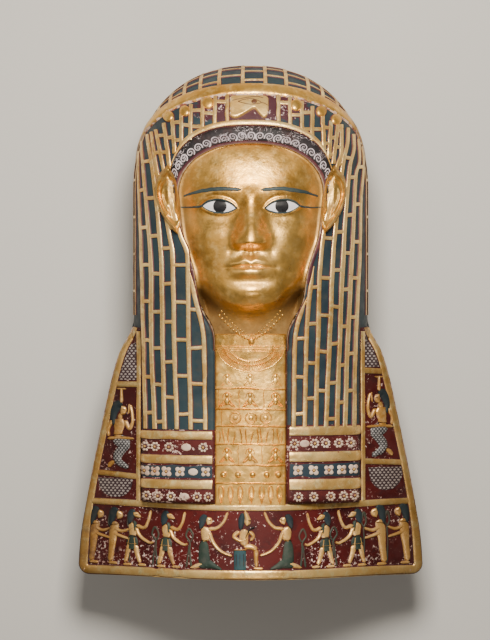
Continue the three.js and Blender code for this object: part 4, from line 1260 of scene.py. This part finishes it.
def buildLappet(side):
    bm = bmesh.new()
    form = lappetForm

    def spot(u, v):
        y = mix(form["hemY"], form["topY"], v ** 1.15)
        share = 0.5 - 0.5 * math.cos(math.pi * u)
        return side * mix(lappetInner(y), form["outer"], mix(u, share, 0.6)), y

    def put(u, v):
        x, y = spot(u, v)
        dent = 0.35 * noise.noise(Vector((x / 14, y / 14, 4)))
        return Vector((x, y, lappetTop(x, y) + dent))

    def under(u, v):
        x, y = spot(u, v)
        return Vector((x, y, min(shellFront(x, y), wigFront(x, y)) - 2.5))
    gridPatch(bm, 60, 130, put, under, 0, 5)
    bands = lappetBands[side]
    for face in bm.faces:
        if face.calc_center_median().y < (bands["bars"][0][0] + 1) * mm:
            face.material_index = 1
    edges = (side * (form["inner"] + 1.8), side * (form["outer"] - 0.6))

    def sheet(high, low, lift, material, profile=10, across=6, edge=None):
        def path(v):
            return mix(*edges, v), (low + high) / 2 + 0.35 * noise.noise(Vector((v * 6, low, 1)))
        ridge(bm, path, (high - low) / 2, lift, lappetPoint, 40, material, profile=profile, across=across,
              wobble=0.05, edge=edge, sink=1.5)
    for y0, y1 in bands["blue"]:
        sheet(y0, y1, 0.35, 2)
    for y0, y1 in bands["bars"]:
        sheet(y0, y1, 1.7, 3, profile=3.2, across=10, edge=5)

    def bandPoint(px, py, lift):
        return lappetPoint(px, py, 0.35 + lift)
    for row, xs, lost in ((bands["blue"][0], bands["blueX"], bands["blueLost"]),
                          (bands["red"][0], bands["redX"], bands["redLost"]),
                          (bands["red"][1], bands["lowX"], bands["lowLost"])):
        petals, reach, long, wide, collar, heart = blossoms["blue" if row is bands["blue"][0] else "red"]
        y = sum(row) / 2
        for index, x in enumerate(xs):
            if index in lost:
                dome(bm, x, y, 5.2, 3.8, 0.5, bandPoint, 4, around=9, rings=3, power=4)
                continue
            for k in range(petals):
                angle = math.pi / petals + k * 2 * math.pi / petals
                worn = 0.95 + 0.3 * noise.noise(Vector((x * 0.7, y * 0.3 + k * 2.1, 6)))
                dome(bm, x + reach * math.cos(angle), y + reach * math.sin(angle), long * worn, wide * worn,
                     0.8, bandPoint, 4, turn=angle, around=10, rings=4)
            dome(bm, x, y, collar, collar, 1.1, bandPoint, 5, around=14, rings=4)
            dome(bm, x, y, heart, heart, 1.6, bandPoint, 6, around=14, rings=4)
    materials = [wigBlue, bandRed, bandBlue, goldStrip, petalWhite, groundDark, petalYellow]
    place(newObject("lappet_left" if side < 0 else "lappet_right", bm, materials, 1.0))


# painted eyes and brows
eyeForm = {"iris": 7.0, "line": 0.8, "browHalf": 2.1}


def lid(along, upper):
    body = max(1 - abs(along) ** 2.3, 0.0)
    rise = 7.2 * body ** 0.85 if upper else -5.6 * body
    return eyeY + 1.2 * along + rise


def buildEye(side):
    bm = bmesh.new()
    centre, half = faceForm["eyeX"], faceForm["eyeHalf"]

    def ball(u, v):
        along = mix(-0.99, 0.99, u)
        x = centre + half * along
        y = mix(lid(along, False) + 0.15, lid(along, True) - 0.15, v)
        bulge = 1.0 * (1 - along ** 2) * (1 - (2 * v - 1) ** 2)
        return Vector((side * x, y, faceFront(x, y) + 0.25 + bulge))

    def ballUnder(u, v):
        return ball(u, v) - Vector((0, 0, 1.5))
    gridPatch(bm, 48, 20, ball, ballUnder)

    def iris(u, v):
        angle, r = 2 * math.pi * u, v * eyeForm["iris"]
        x, y = centre - 0.6 + r * math.cos(angle), eyeY + 1.0 + r * math.sin(angle)
        along = (x - centre) / half
        y = min(max(y, lid(along, False) + 0.5), lid(along, True) - 0.5)
        share = (y - lid(along, False)) / max(lid(along, True) - lid(along, False), 0.1)
        bulge = 1.0 * (1 - along ** 2) * (1 - (2 * share - 1) ** 2)
        return Vector((side * x, y, faceFront(x, y) + 0.45 + bulge - 0.35 * ease(0.94, 1, v)))
    verts = gridPatch(bm, 40, 10, iris, None, 1)
    closeTube(bm, verts)
    line = eyeForm["line"]

    def lidPath(upper, reach):
        def path(v):
            along = mix(-1.03, 1.0 + reach, v)
            if along <= 1:
                y = lid(along, upper)
            else:
                y = lid(1, upper) - 0.9 * math.sin((along - 1) * 2.2)
            return side * (centre + half * along), y
        return path

    def taper(v):
        return line * (0.55 + 0.6 * math.sin(math.pi * min(v * 1.15, 1)) ** 0.7)
    ridge(bm, lidPath(True, 1.25), lambda v: 1.15 * taper(v) + 0.25, 0.55, facePoint, 70, 2, profile=3)
    ridge(bm, lidPath(False, 0.0), taper, 0.5, facePoint, 44, 2, profile=3)

    def brow(v):
        x = mix(9.5, 66, v)
        return side * x, browY + 4.5 - 0.0042 * (x - 27) ** 2
    ridge(bm, brow, lambda v: eyeForm["browHalf"] * (0.85 + 0.3 * math.sin(math.pi * v)) * (1 - 0.45 * v ** 3)
          * min(1, 12 * v + 0.35), 0.5, facePoint, 60, 2, profile=4)
    place(newObject("eye_left" if side < 0 else "eye_right", bm, [eyeWhite, irisDark, kohl], 0.9))


# breast panel: embossed gilded slab between the lappets
panelForm = {"left": -35.6, "right": 34.6, "top": -13, "foot": -182, "lift": 1.6, "relief": 1.45}


def buildPanel():
    bm = bmesh.new()
    form = panelForm

    def top(u, v):
        x, y = mix(form["left"], form["right"], u), mix(form["foot"], form["top"], v)
        border = min(u, 1 - u) * (form["right"] - form["left"])
        wave = 0.3 * noise.noise(Vector((x / 9, y / 9, 8)))
        wave += 0.12 * noise.noise(Vector((x / 2.5, y / 2.5, 3)))
        return platePoint(x, y, form["lift"] * ease(0, 1.2, border) + wave)

    def under(u, v):
        return platePoint(mix(form["left"], form["right"], u), mix(form["foot"], form["top"], v), -1)
    gridPatch(bm, 70, 150, top, under)

    def on(x, y, lift):
        return platePoint(x, y, form["lift"] + (lift * form["relief"] if lift > 0 else lift))
    for y, sag in ((-24.5, 0), (-27, 0.2), (-29.5, 0.2), (-67, 0.6), (-87.2, 0.4), (-103.8, 0.3),
                   (-121.7, 0.3), (-142.3, 0.4), (-160.3, 0.2)):
        half, lift = (0.5, 0.5) if y > -40 else (0.85, 1.1)

        def rule(v, y=y, sag=sag):
            return mix(form["left"] + 1, form["right"] - 1, v), y + sag * math.sin(5 * v)
        ridge(bm, rule, half, lift, on, 60, profile=2)

    def wing(reach, t):
        angle = mix(-1.4, 1.4, t)
        y = mix(-20.5, -22.5, reach) - mix(19, 27.5, reach) * math.cos(angle)
        return mix(22.5, 33.5, reach) * math.sin(angle), y
    for reach, half in ((0.0, 0.9), (0.42, 0.5), (1.0, 0.9)):
        ridge(bm, lambda v, reach=reach: wing(reach, v), half, 0.8, on, 60, profile=2)
    for start, end, count in ((0.05, 0.4, 34), (0.46, 0.97, 46)):
        for k in range(count):
            t = (k + 0.5) / count
            xa, ya = wing(start, t)
            xb, yb = wing(end, t - 0.018 * math.copysign(1, 0.5 - t))
            ridge(bm, lambda v, xa=xa, ya=ya, xb=xb, yb=yb: (mix(xa, xb, v), mix(ya, yb, v)),
                  lambda v: 0.55 + 0.35 * v, 0.5, on, 6, profile=2, across=4, wobble=0.1)
    for foot, size, lift in ((-65, 0.85, 0.45), (-85.5, 1.0, 1.0), (-140.5, 1.0, 1.0)):
        for x in (-23.3, -0.8, 24.0):
            squat(bm, x, foot, size, lift, on)
    for x in (-15.3, 0.0, 14.6):
        ring(bm, x, -95.6, 5.3, 0.9, 1.1, on)
        dome(bm, x, -95.6, 2.6, 2.6, 0.7, on)
    for k, x in enumerate((-31, -27, -21.5, -16.5, -10, -4, 1, 6, 10.5, 16, 21, 26.5, 31)):
        head = -106 - 3 * (k % 3 == 0)
        ridge(bm, lambda v, x=x, k=k, head=head: (x + 1.1 * math.sin(2.5 * v + k * 1.9), mix(-120, head, v)),
              lambda v: 0.5 + 0.35 * math.sin(math.pi * v), 0.8, on, 14, profile=2, across=4)
    for x in (-26.7, -12.5, 1.7, 15.4, 26.6):
        dome(bm, x, -151.3, 3.1, 3.0, 2.5, on, around=18, rings=7)
    for x in (-28.8, -19.7, -10.3, 0.5, 10.5, 19.2, 27.8):
        drop(bm, x, -180, 17.5, 3.0, on)
    for x, foot, head in ((-31.5, -86.5, -68), (-28.8, -102.5, -88.5), (-12.4, -141, -123),
                          (10.8, -141, -123), (-11.5, -86, -68), (12.6, -86, -68)):
        ridge(bm, lambda v, x=x, foot=foot, head=head: (x + 0.3 * math.sin(7 * v), mix(foot, head, v)),
              0.45, 0.5, on, 12, profile=2, across=4)
    buildBeads(bm)
    place(newObject("breast_panel", bm, [goldRelief], 1.2))


# Small seated figure with spread wings, pressed into the leaf
def squat(bm, x, foot, size, lift, on):
    dome(bm, x, foot + 12.5 * size, 2.1 * size, 2.4 * size, 1.5 * lift, on, around=14, rings=5)
    dome(bm, x, foot + 6.5 * size, 2.6 * size, 4.2 * size, 1.3 * lift, on, around=14, rings=5)
    for side in (-1, 1):
        for reach, low, high in ((7.2, 1.0, 9.0), (5.4, 1.2, 5.0)):
            ridge(bm, lambda v, side=side, reach=reach, low=low, high=high:
                  (x + side * size * reach * v, foot + size * (mix(high, low, v ** 1.3))),
                  0.75 * size, 0.9 * lift, on, 10, profile=2, across=4)

        def arm(v, side=side):
            return x + side * size * 4.2 * math.sin(v * 1.6), foot + size * (11 + 4 * math.cos(v * 1.9))
        ridge(bm, arm, 0.5 * size, 0.7 * lift, on, 10, profile=2, across=4)


def ring(bm, x, y, radius, half, lift, on):
    def put(u, v):
        s = 2 * u - 1
        angle = 2 * math.pi * v
        r = radius + s * half
        return on(x + r * math.cos(angle), y + r * math.sin(angle), lift * (1 - s * s) - 0.2)
    verts = gridPatch(bm, 6, 32, put)
    closeTube(bm, verts)


def drop(bm, x, foot, tall, half, on):
    def width(v):
        return half * math.sin(math.pi * min(max((1 - v) ** 0.62, 0), 1)) * 0.92 + 0.35

    def put(u, v):
        s = 2 * u - 1
        lift = 1.15 * bell(abs(s) - 0.8, 0.24) + 0.9 * bell(s, 0.35) * bell(v - 0.25, 0.22)
        return on(x + s * width(v), foot + tall * v, lift - 0.2 * ease(0.93, 1, abs(s)))
    gridPatch(bm, 12, 22, put)


def buildBeads(bm):
    beads = 22

    def path(t):
        x = 31 * (2 * t - 1)
        return x, -12 + 24 * abs(2 * t - 1) ** 1.5 - 6.5

    def chest(x, y, lift):
        high = max(faceFront(x, y, False) if y > -22 else 0, shellFront(x, y) + panelForm["lift"])
        return Vector((x, y, high + lift))
    for k in range(beads + 1):
        x, y = path(k / beads)
        dome(bm, x, y, 1.25, 1.5, 1.5, chest, around=10, rings=4)
        dome(bm, x * 0.93, y + 4.2, 0.9, 1.1, 1.1, chest, around=10, rings=4)
    dome(bm, 0.5, -20.5, 3.2, 4.0, 2.4, chest, around=16, rings=6)
    dome(bm, 0.5, -20.5, 1.6, 2.0, 3.0, chest, around=12, rings=5)


# chest plate: gold bars and borders, panels, figures
plateForm = {"lift": 1.5, "inset": 4.3, "radius": 5.6, "hem": 5.3, "topY": -6}


def plateEdge(y, inset):
    return plateOutline(-y) - inset


# Down the left edge of the plate, round its corners and up the right edge
def borderPath(v):
    inset, radius, hem = plateForm["inset"], plateForm["radius"], shellForm["hemY"] + plateForm["hem"]
    turnY = hem + radius
    cornerX = plateEdge(turnY, inset) - radius
    reach, bend = plateForm["topY"] - turnY, radius * math.pi / 2
    parts = (reach, bend, 2 * cornerX, bend, reach)
    place = v * sum(parts)
    side = -1
    if place > sum(parts) / 2:
        place = sum(parts) - place
        side = 1
    if place < parts[0]:
        y = mix(turnY + parts[0], turnY, place / parts[0])
        return side * plateEdge(y, inset), y
    place -= parts[0]
    if place < parts[1]:
        angle = place / parts[1] * math.pi / 2
        return side * (cornerX + radius * math.cos(angle)), turnY - radius * math.sin(angle)
    return side * (cornerX - (place - parts[1])), hem


def buildBorders():
    bm = bmesh.new()
    lift = plateForm["lift"]
    gold = {"profile": 3.5, "across": 10, "edge": 1, "wobble": 0.1}

    def chipped(v):
        x, y = borderPath(v)
        width = mix(3.6, 5.1, ease(-150, -240, y)) * (1 - 0.25 * ease(-60, -6, y))
        chip = 1.4 * bell(x + 94, 3.0) + 1.2 * bell(x + 70, 6) + 0.7 * bell(x - 40, 3)
        return width - chip * (y < -240)
    ridge(bm, borderPath, chipped, lift, platePoint, 520, **gold)
    for side in (-1, 1):
        ridge(bm, lambda v, side=side: (side * mix(112.5, 111.8, v), mix(-180, -10, v)), 2.6, lift,
              platePoint, 90, **gold)
    ridge(bm, lambda v: (mix(-160, 159, v), -181.5 - 2.8 * math.cos(math.pi * (v - 0.5))), 3.8, lift,
          platePoint, 150, **gold)
    for side, y, fall in ((-1, -63.5, 0), (-1, -152.5, 3.5), (1, -50.5, -1), (1, -142.5, -2.0)):
        def rail(v, side=side, y=y, fall=fall):
            return side * mix(113, plateEdge(y, 7), v), y + fall * (v - 1)
        ridge(bm, rail, 3.4, lift * 0.95, platePoint, 24, **gold)
    place(newObject("plate_borders", bm, [goldStrip, groundDark], 1.0))


scaleForm = {"inner": 114.6, "edge": 8.0, "lift": 0.3, "sink": -0.5, "bowlX": 136, "bowlHalf": 18}


def buildScales():
    bm = bmesh.new()

    def closed(columns, rows, spot):
        gridPatch(bm, columns, rows, lambda u, v: platePoint(*spot(u, v), scaleForm["lift"]),
                  lambda u, v: platePoint(*spot(u, v), scaleForm["sink"]))
    for side, topY, footY in ((-1, -22, -59), (1, -12, -46)):
        def corner(u, v, side=side, topY=topY, footY=footY):
            y = mix(footY, topY, v)
            outer = max(plateEdge(y, scaleForm["edge"]), scaleForm["inner"] + 0.5)
            return side * mix(scaleForm["inner"], outer, u), y
        closed(12, 20, corner)
    for side, topY, footY in ((-1, -158, -177), (1, -147, -170)):
        def bowl(u, v, side=side, topY=topY, footY=footY):
            reach = arc(2 * u - 1, 2.2)
            x = scaleForm["bowlX"] + scaleForm["bowlHalf"] * (2 * u - 1)
            return side * x, mix(topY, topY - (topY - footY) * reach, v)
        closed(20, 10, bowl)
    place(newObject("scale_patterns", bm, [scalePaint], 1.0))


goldPart, hairPart, kiltPart, netPart, thronePart, staffPart, linePart = range(7)


# Rounded limb through (x, y, half width) stations of a figure drawn 1 high
def limb(bm, stations, origin, size, facing, material, lift=1.6, blunt=0.0):
    last = len(stations) - 1
    marks = [k / last for k in range(last + 1)]
    xs = through([(m, p[0]) for m, p in zip(marks, stations)])
    ys = through([(m, p[1]) for m, p in zip(marks, stations)])
    halves = through([(m, p[2]) for m, p in zip(marks, stations)])
    length = sum(math.hypot(b[0] - a[0], b[1] - a[1]) for a, b in zip(stations, stations[1:])) * size

    def path(v):
        return origin[0] + facing * xs(v) * size, origin[1] + ys(v) * size

    def half(v):
        near = min(v, 1 - v) * length
        width = halves(v) * size
        return max(width * max(arc(1 - min(near / max(width, 0.01), 1.0), 2), blunt), 0.12)
    ridge(bm, path, half, lift, platePoint, max(int(length / 1.3), 8), material, profile=2, wobble=0.12)


def drawFigure(bm, parts, origin, size, facing):
    for part in parts:
        material, lift, stations = part[:3]
        limb(bm, stations, origin, size, facing, material, lift, part[3] if len(part) > 3 else 0.0)


wrapped = [
    (staffPart, 0.7, [(0.25, 0.04, 0.018), (0.24, 0.4, 0.014), (0.25, 0.62, 0.018), (0.21, 0.74, 0.018),
                      (0.25, 0.88, 0.026), (0.29, 0.74, 0.018), (0.255, 0.64, 0.014)]),
    (goldPart, 1.7, [(0.0, 0.76, 0.07), (-0.04, 0.6, 0.085), (-0.07, 0.3, 0.062), (-0.1, 0.05, 0.055)]),
    (goldPart, 1.4, [(-0.13, 0.03, 0.034), (0.03, 0.02, 0.03)]),
    (hairPart, 1.7, [(0.03, 1.0, 0.07), (-0.045, 0.9, 0.075), (-0.09, 0.68, 0.035)]),
    (goldPart, 2.2, [(0.06, 0.95, 0.045), (0.07, 0.875, 0.066), (0.05, 0.8, 0.04)]),
    (hairPart, 2.5, [(0.07, 0.895, 0.014), (0.11, 0.9, 0.01)]),
    (goldPart, 1.7, [(-0.01, 0.63, 0.034), (0.11, 0.59, 0.03), (0.25, 0.63, 0.022)]),
    (goldPart, 1.7, [(-0.02, 0.54, 0.034), (0.1, 0.5, 0.03), (0.24, 0.46, 0.022)]),
    (linePart, 2.2, [(-0.1, 0.7, 0.008), (0.05, 0.72, 0.008)]),
]
striding = [
    (staffPart, 0.7, [(0.44, 0.02, 0.024), (0.41, 0.3, 0.018), (0.41, 0.46, 0.02), (0.345, 0.58, 0.018),
                      (0.4, 0.7, 0.022), (0.465, 0.58, 0.018), (0.42, 0.46, 0.016)]),
    (staffPart, 0.6, [(0.35, 0.02, 0.022), (0.38, 0.26, 0.016), (0.4, 0.42, 0.018)]),
    (goldPart, 1.6, [(-0.06, 0.38, 0.055), (-0.1, 0.2, 0.042), (-0.14, 0.06, 0.034)]),
    (goldPart, 1.4, [(-0.17, 0.025, 0.03), (-0.02, 0.02, 0.026)]),
    (goldPart, 1.6, [(0.04, 0.38, 0.055), (0.08, 0.2, 0.042), (0.13, 0.06, 0.034)]),
    (goldPart, 1.4, [(0.1, 0.025, 0.03), (0.24, 0.02, 0.026)]),
    (goldPart, 1.8, [(-0.01, 0.76, 0.09), (0.0, 0.63, 0.08), (0.0, 0.5, 0.06)]),
    (kiltPart, 2.0, [(0.0, 0.55, 0.075), (-0.01, 0.44, 0.11), (-0.015, 0.3, 0.135)], 0.75),
    (linePart, 2.3, [(-0.06, 0.53, 0.01), (0.07, 0.53, 0.01)]),
    (goldPart, 2.3, [(-0.05, 0.5, 0.006), (-0.09, 0.31, 0.006)]),
    (goldPart, 2.3, [(0.04, 0.5, 0.006), (0.06, 0.31, 0.006)]),
    (goldPart, 2.3, [(-0.1, 0.4, 0.006), (0.08, 0.39, 0.006)]),
    (hairPart, 1.6, [(0.02, 1.0, 0.045), (-0.03, 0.9, 0.07), (-0.06, 0.74, 0.04)]),
    (goldPart, 2.1, [(0.03, 0.945, 0.045), (0.07, 0.9, 0.05), (0.15, 0.865, 0.014)]),
    (hairPart, 2.4, [(0.06, 0.915, 0.012), (0.1, 0.915, 0.008)]),
    (kiltPart, 1.9, [(0.03, 0.8, 0.03), (0.045, 0.7, 0.035), (0.05, 0.62, 0.02)]),
    (goldPart, 1.8, [(0.07, 0.72, 0.036), (0.2, 0.68, 0.032), (0.28, 0.8, 0.026), (0.33, 0.99, 0.024)]),
    (goldPart, 1.8, [(0.06, 0.68, 0.036), (0.13, 0.53, 0.032), (0.3, 0.42, 0.026), (0.37, 0.44, 0.02)]),
]
kneeling = [
    (goldPart, 1.4, [(-0.26, 0.02, 0.02), (-0.14, 0.06, 0.045), (-0.02, 0.1, 0.045)]),
    (kiltPart, 1.6, [(-0.1, 0.05, 0.05), (0.06, 0.1, 0.09), (0.18, 0.06, 0.06), (0.33, 0.0, 0.02)]),
    (kiltPart, 1.8, [(-0.01, 0.54, 0.075), (-0.01, 0.36, 0.1), (0.0, 0.16, 0.115), (0.05, 0.06, 0.09)], 0.5),
    (goldPart, 1.9, [(0.0, 0.8, 0.085), (0.03, 0.66, 0.1), (0.0, 0.52, 0.07)]),
    (hairPart, 1.7, [(0.04, 1.02, 0.05), (-0.03, 0.93, 0.07), (-0.07, 0.76, 0.035)]),
    (goldPart, 2.2, [(0.07, 0.98, 0.045), (0.09, 0.91, 0.062), (0.07, 0.84, 0.035)]),
    (hairPart, 2.6, [(0.09, 0.93, 0.014), (0.14, 0.93, 0.01)]),
    (goldPart, 1.8, [(0.08, 0.76, 0.04), (0.24, 0.78, 0.034), (0.36, 0.9, 0.03), (0.44, 1.08, 0.028)]),
    (goldPart, 1.8, [(0.09, 0.7, 0.038), (0.17, 0.5, 0.034), (0.32, 0.34, 0.03), (0.52, 0.26, 0.024)]),
    (linePart, 2.3, [(-0.06, 0.55, 0.01), (0.06, 0.55, 0.01)]),
]
seated = [
    (thronePart, 1.5, [(-0.15, 0.0, 0.12), (-0.15, 0.2, 0.12), (-0.15, 0.36, 0.12)], 1.0),
    (goldPart, 1.8, [(-0.26, 0.37, 0.012), (-0.03, 0.37, 0.012)]),
    (linePart, 1.9, [(-0.22, 0.06, 0.008), (-0.22, 0.3, 0.008)]),
    (linePart, 1.9, [(-0.15, 0.06, 0.008), (-0.15, 0.3, 0.008)]),
    (linePart, 1.9, [(-0.08, 0.06, 0.008), (-0.08, 0.3, 0.008)]),
    (goldPart, 2.0, [(-0.06, 0.76, 0.09), (-0.08, 0.6, 0.085), (-0.06, 0.44, 0.075)]),
    (goldPart, 2.0, [(-0.08, 0.43, 0.06), (0.08, 0.42, 0.055), (0.16, 0.36, 0.05)]),
    (goldPart, 1.9, [(0.15, 0.38, 0.05), (0.15, 0.2, 0.04), (0.16, 0.05, 0.034)]),
    (goldPart, 1.5, [(0.1, 0.025, 0.03), (0.28, 0.02, 0.026)]),
    (hairPart, 1.7, [(-0.1, 1.06, 0.035), (-0.12, 0.92, 0.065), (-0.14, 0.74, 0.035)]),
    (goldPart, 2.2, [(-0.06, 1.1, 0.03), (-0.02, 0.98, 0.05), (-0.01, 0.9, 0.068), (-0.02, 0.82, 0.04)]),
    (hairPart, 2.6, [(0.0, 0.92, 0.013), (0.05, 0.92, 0.01)]),
    (goldPart, 2.3, [(-0.16, 0.72, 0.045), (-0.26, 0.62, 0.04), (-0.14, 0.54, 0.03), (-0.02, 0.58, 0.026)]),
    (goldPart, 2.3, [(0.02, 0.72, 0.042), (0.1, 0.62, 0.036), (0.04, 0.54, 0.028)]),
    (hairPart, 2.5, [(-0.05, 0.58, 0.012), (0.02, 0.74, 0.01), (0.12, 0.8, 0.014)]),
]
offering = [
    (netPart, 1.5, [(-0.07, 0.345, 0.06), (0.04, 0.335, 0.085), (0.13, 0.28, 0.06)]),
    (netPart, 1.6, [(0.13, 0.32, 0.045), (0.0, 0.2, 0.06), (-0.01, 0.1, 0.05), (0.12, 0.015, 0.03)]),
    (goldPart, 1.5, [(-0.13, 0.02, 0.022), (-0.11, 0.06, 0.03), (-0.06, 0.1, 0.022)]),
    (goldPart, 1.5, [(0.02, 0.68, 0.028), (0.0, 0.6, 0.034)], 0.7),
    (goldPart, 1.8, [(-0.005, 0.615, 0.1), (0.0, 0.54, 0.074), (-0.01, 0.46, 0.056),
                     (-0.02, 0.38, 0.062)], 0.62),
    (goldPart, 1.6, [(-0.085, 0.6, 0.03), (-0.135, 0.5, 0.025), (-0.13, 0.4, 0.022)]),
    (goldPart, 1.9, [(-0.14, 0.375, 0.022), (0.02, 0.385, 0.022), (0.19, 0.375, 0.016)]),
    (goldPart, 1.6, [(0.075, 0.6, 0.03), (0.13, 0.5, 0.026), (0.17, 0.6, 0.02), (0.15, 0.79, 0.015)]),
    (goldPart, 1.4, [(0.12, 0.68, 0.01), (0.13, 0.8, 0.008)]),
    (hairPart, 1.8, [(0.045, 0.805, 0.04), (-0.035, 0.77, 0.065), (-0.075, 0.66, 0.05),
                     (-0.06, 0.54, 0.022)]),
    (goldPart, 2.0, [(0.04, 0.775, 0.028), (0.055, 0.725, 0.042), (0.035, 0.665, 0.028)]),
    (hairPart, 2.3, [(0.055, 0.735, 0.009), (0.085, 0.735, 0.007)]),
    (goldPart, 1.5, [(0.03, 0.82, 0.024), (0.03, 0.9, 0.02), (0.03, 0.99, 0.015)], 0.6),
    (goldPart, 1.2, [(-0.03, 0.985, 0.012), (0.09, 0.985, 0.012)]),
    (linePart, 2.2, [(-0.07, 0.42, 0.008), (0.05, 0.43, 0.008)]),
]


def buildFigures():
    bm = bmesh.new()
    row = [(wrapped, -155.5, -244.6, 57, 1), (wrapped, -136, -245, 57, 1), (striding, -118.4, -245.8, 57, 1),
           (striding, -84, -246, 57, 1), (kneeling, -46, -246, 53, 1), (seated, -2.8, -245.6, 53, 1),
           (kneeling, 36.5, -245.6, 53, -1), (striding, 74, -245.6, 56, -1), (striding, 106, -245.8, 58, -1),
           (wrapped, 128.6, -246, 61, -1), (wrapped, 152.7, -245.4, 61, -1)]
    for parts, x, foot, tall, facing in row:
        drawFigure(bm, parts, (x, foot), tall, facing)
    drawFigure(bm, offering, (-132.5, -149), 82, 1)
    drawFigure(bm, offering, (131.5, -137), 82, -1)
    place(newObject("painted_figures", bm,
                      [goldFigure, hairPaint, kiltGreen, netPaint, throneBlue, staffGreen, linePaint], 1.2))


buildShell()
buildOpeningEdge()
buildFace()
buildFillet()
buildLattice()
buildArches()
buildPlaque()
for side in (-1, 1):
    buildEar(side)
    buildLappet(side)
    buildEye(side)
buildPanel()
buildBorders()
buildScales()
buildFigures()


# stage, light and camera
floorForm = {"z": -0.0005, "half": 4, "tone": (0.50, 0.49, 0.47), "roughness": 0.85}
worldForm = {"tone": (1.0, 0.95, 0.88, 1), "strength": 0.08}
lamps = {
    "key": {"size": (0.42, 0.42), "power": 37, "at": (0.04, 0.55, 1.3), "aim": (0, 0.02, 0.15),
            "tone": (1, 0.93, 0.82)},
    "fill": {"size": (0.9, 0.9), "power": 2, "at": (-0.95, 0.1, 1.1), "aim": (0, 0, 0.15),
             "tone": (1, 0.94, 0.86)},
    "low": {"size": (0.7, 0.4), "power": 3.5, "at": (0.1, -0.75, 1.2), "aim": (0, -0.05, 0.15),
            "tone": (1, 0.93, 0.84)},
}


def buildStage():
    bm = bmesh.new()
    made = bmesh.ops.create_grid(bm, x_segments=2, y_segments=2, size=floorForm["half"])
    bmesh.ops.translate(bm, verts=made["verts"], vec=(0, 0, floorForm["z"]))
    mesh = bpy.data.meshes.new("floor")
    bm.to_mesh(mesh)
    bm.free()
    floor = bpy.data.objects.new("floor", mesh)
    bpy.context.scene.collection.objects.link(floor)
    mesh.materials.append(Weave("floor_paint").finish(floorForm["tone"], floorForm["roughness"]))
    for name, lamp in lamps.items():
        light = bpy.data.lights.new(name, "AREA")
        light.shape = "RECTANGLE"
        light.size, light.size_y = lamp["size"]
        light.energy = lamp["power"]
        light.color = lamp["tone"]
        holder = bpy.data.objects.new(name, light)
        bpy.context.scene.collection.objects.link(holder)
        holder.location = lamp["at"]
        away = Vector(lamp["aim"]) - Vector(lamp["at"])
        holder.rotation_euler = away.to_track_quat("-Z", "Y").to_euler()
    world = bpy.data.worlds.new("room")
    bpy.context.scene.world = world
    world.use_nodes = True
    background = world.node_tree.nodes["Background"]
    background.inputs[0].default_value = worldForm["tone"]
    background.inputs[1].default_value = worldForm["strength"]


cameraForm = {"height": 3.325, "aimX": -0.0058, "aimY": 0.001, "planeZ": 0.125, "frameHeight": 0.640,
              "sensor": 36}


def buildCamera():
    camera = bpy.data.cameras.new("camera")
    holder = bpy.data.objects.new("camera", camera)
    bpy.context.scene.collection.objects.link(holder)
    distance = cameraForm["height"] - cameraForm["planeZ"]
    camera.sensor_width = cameraForm["sensor"]
    camera.lens = cameraForm["sensor"] * distance / cameraForm["frameHeight"]
    holder.location = (cameraForm["aimX"], cameraForm["aimY"], cameraForm["height"])
    holder.rotation_euler = (0, 0, 0)
    bpy.context.scene.camera = holder


buildStage()
buildCamera()
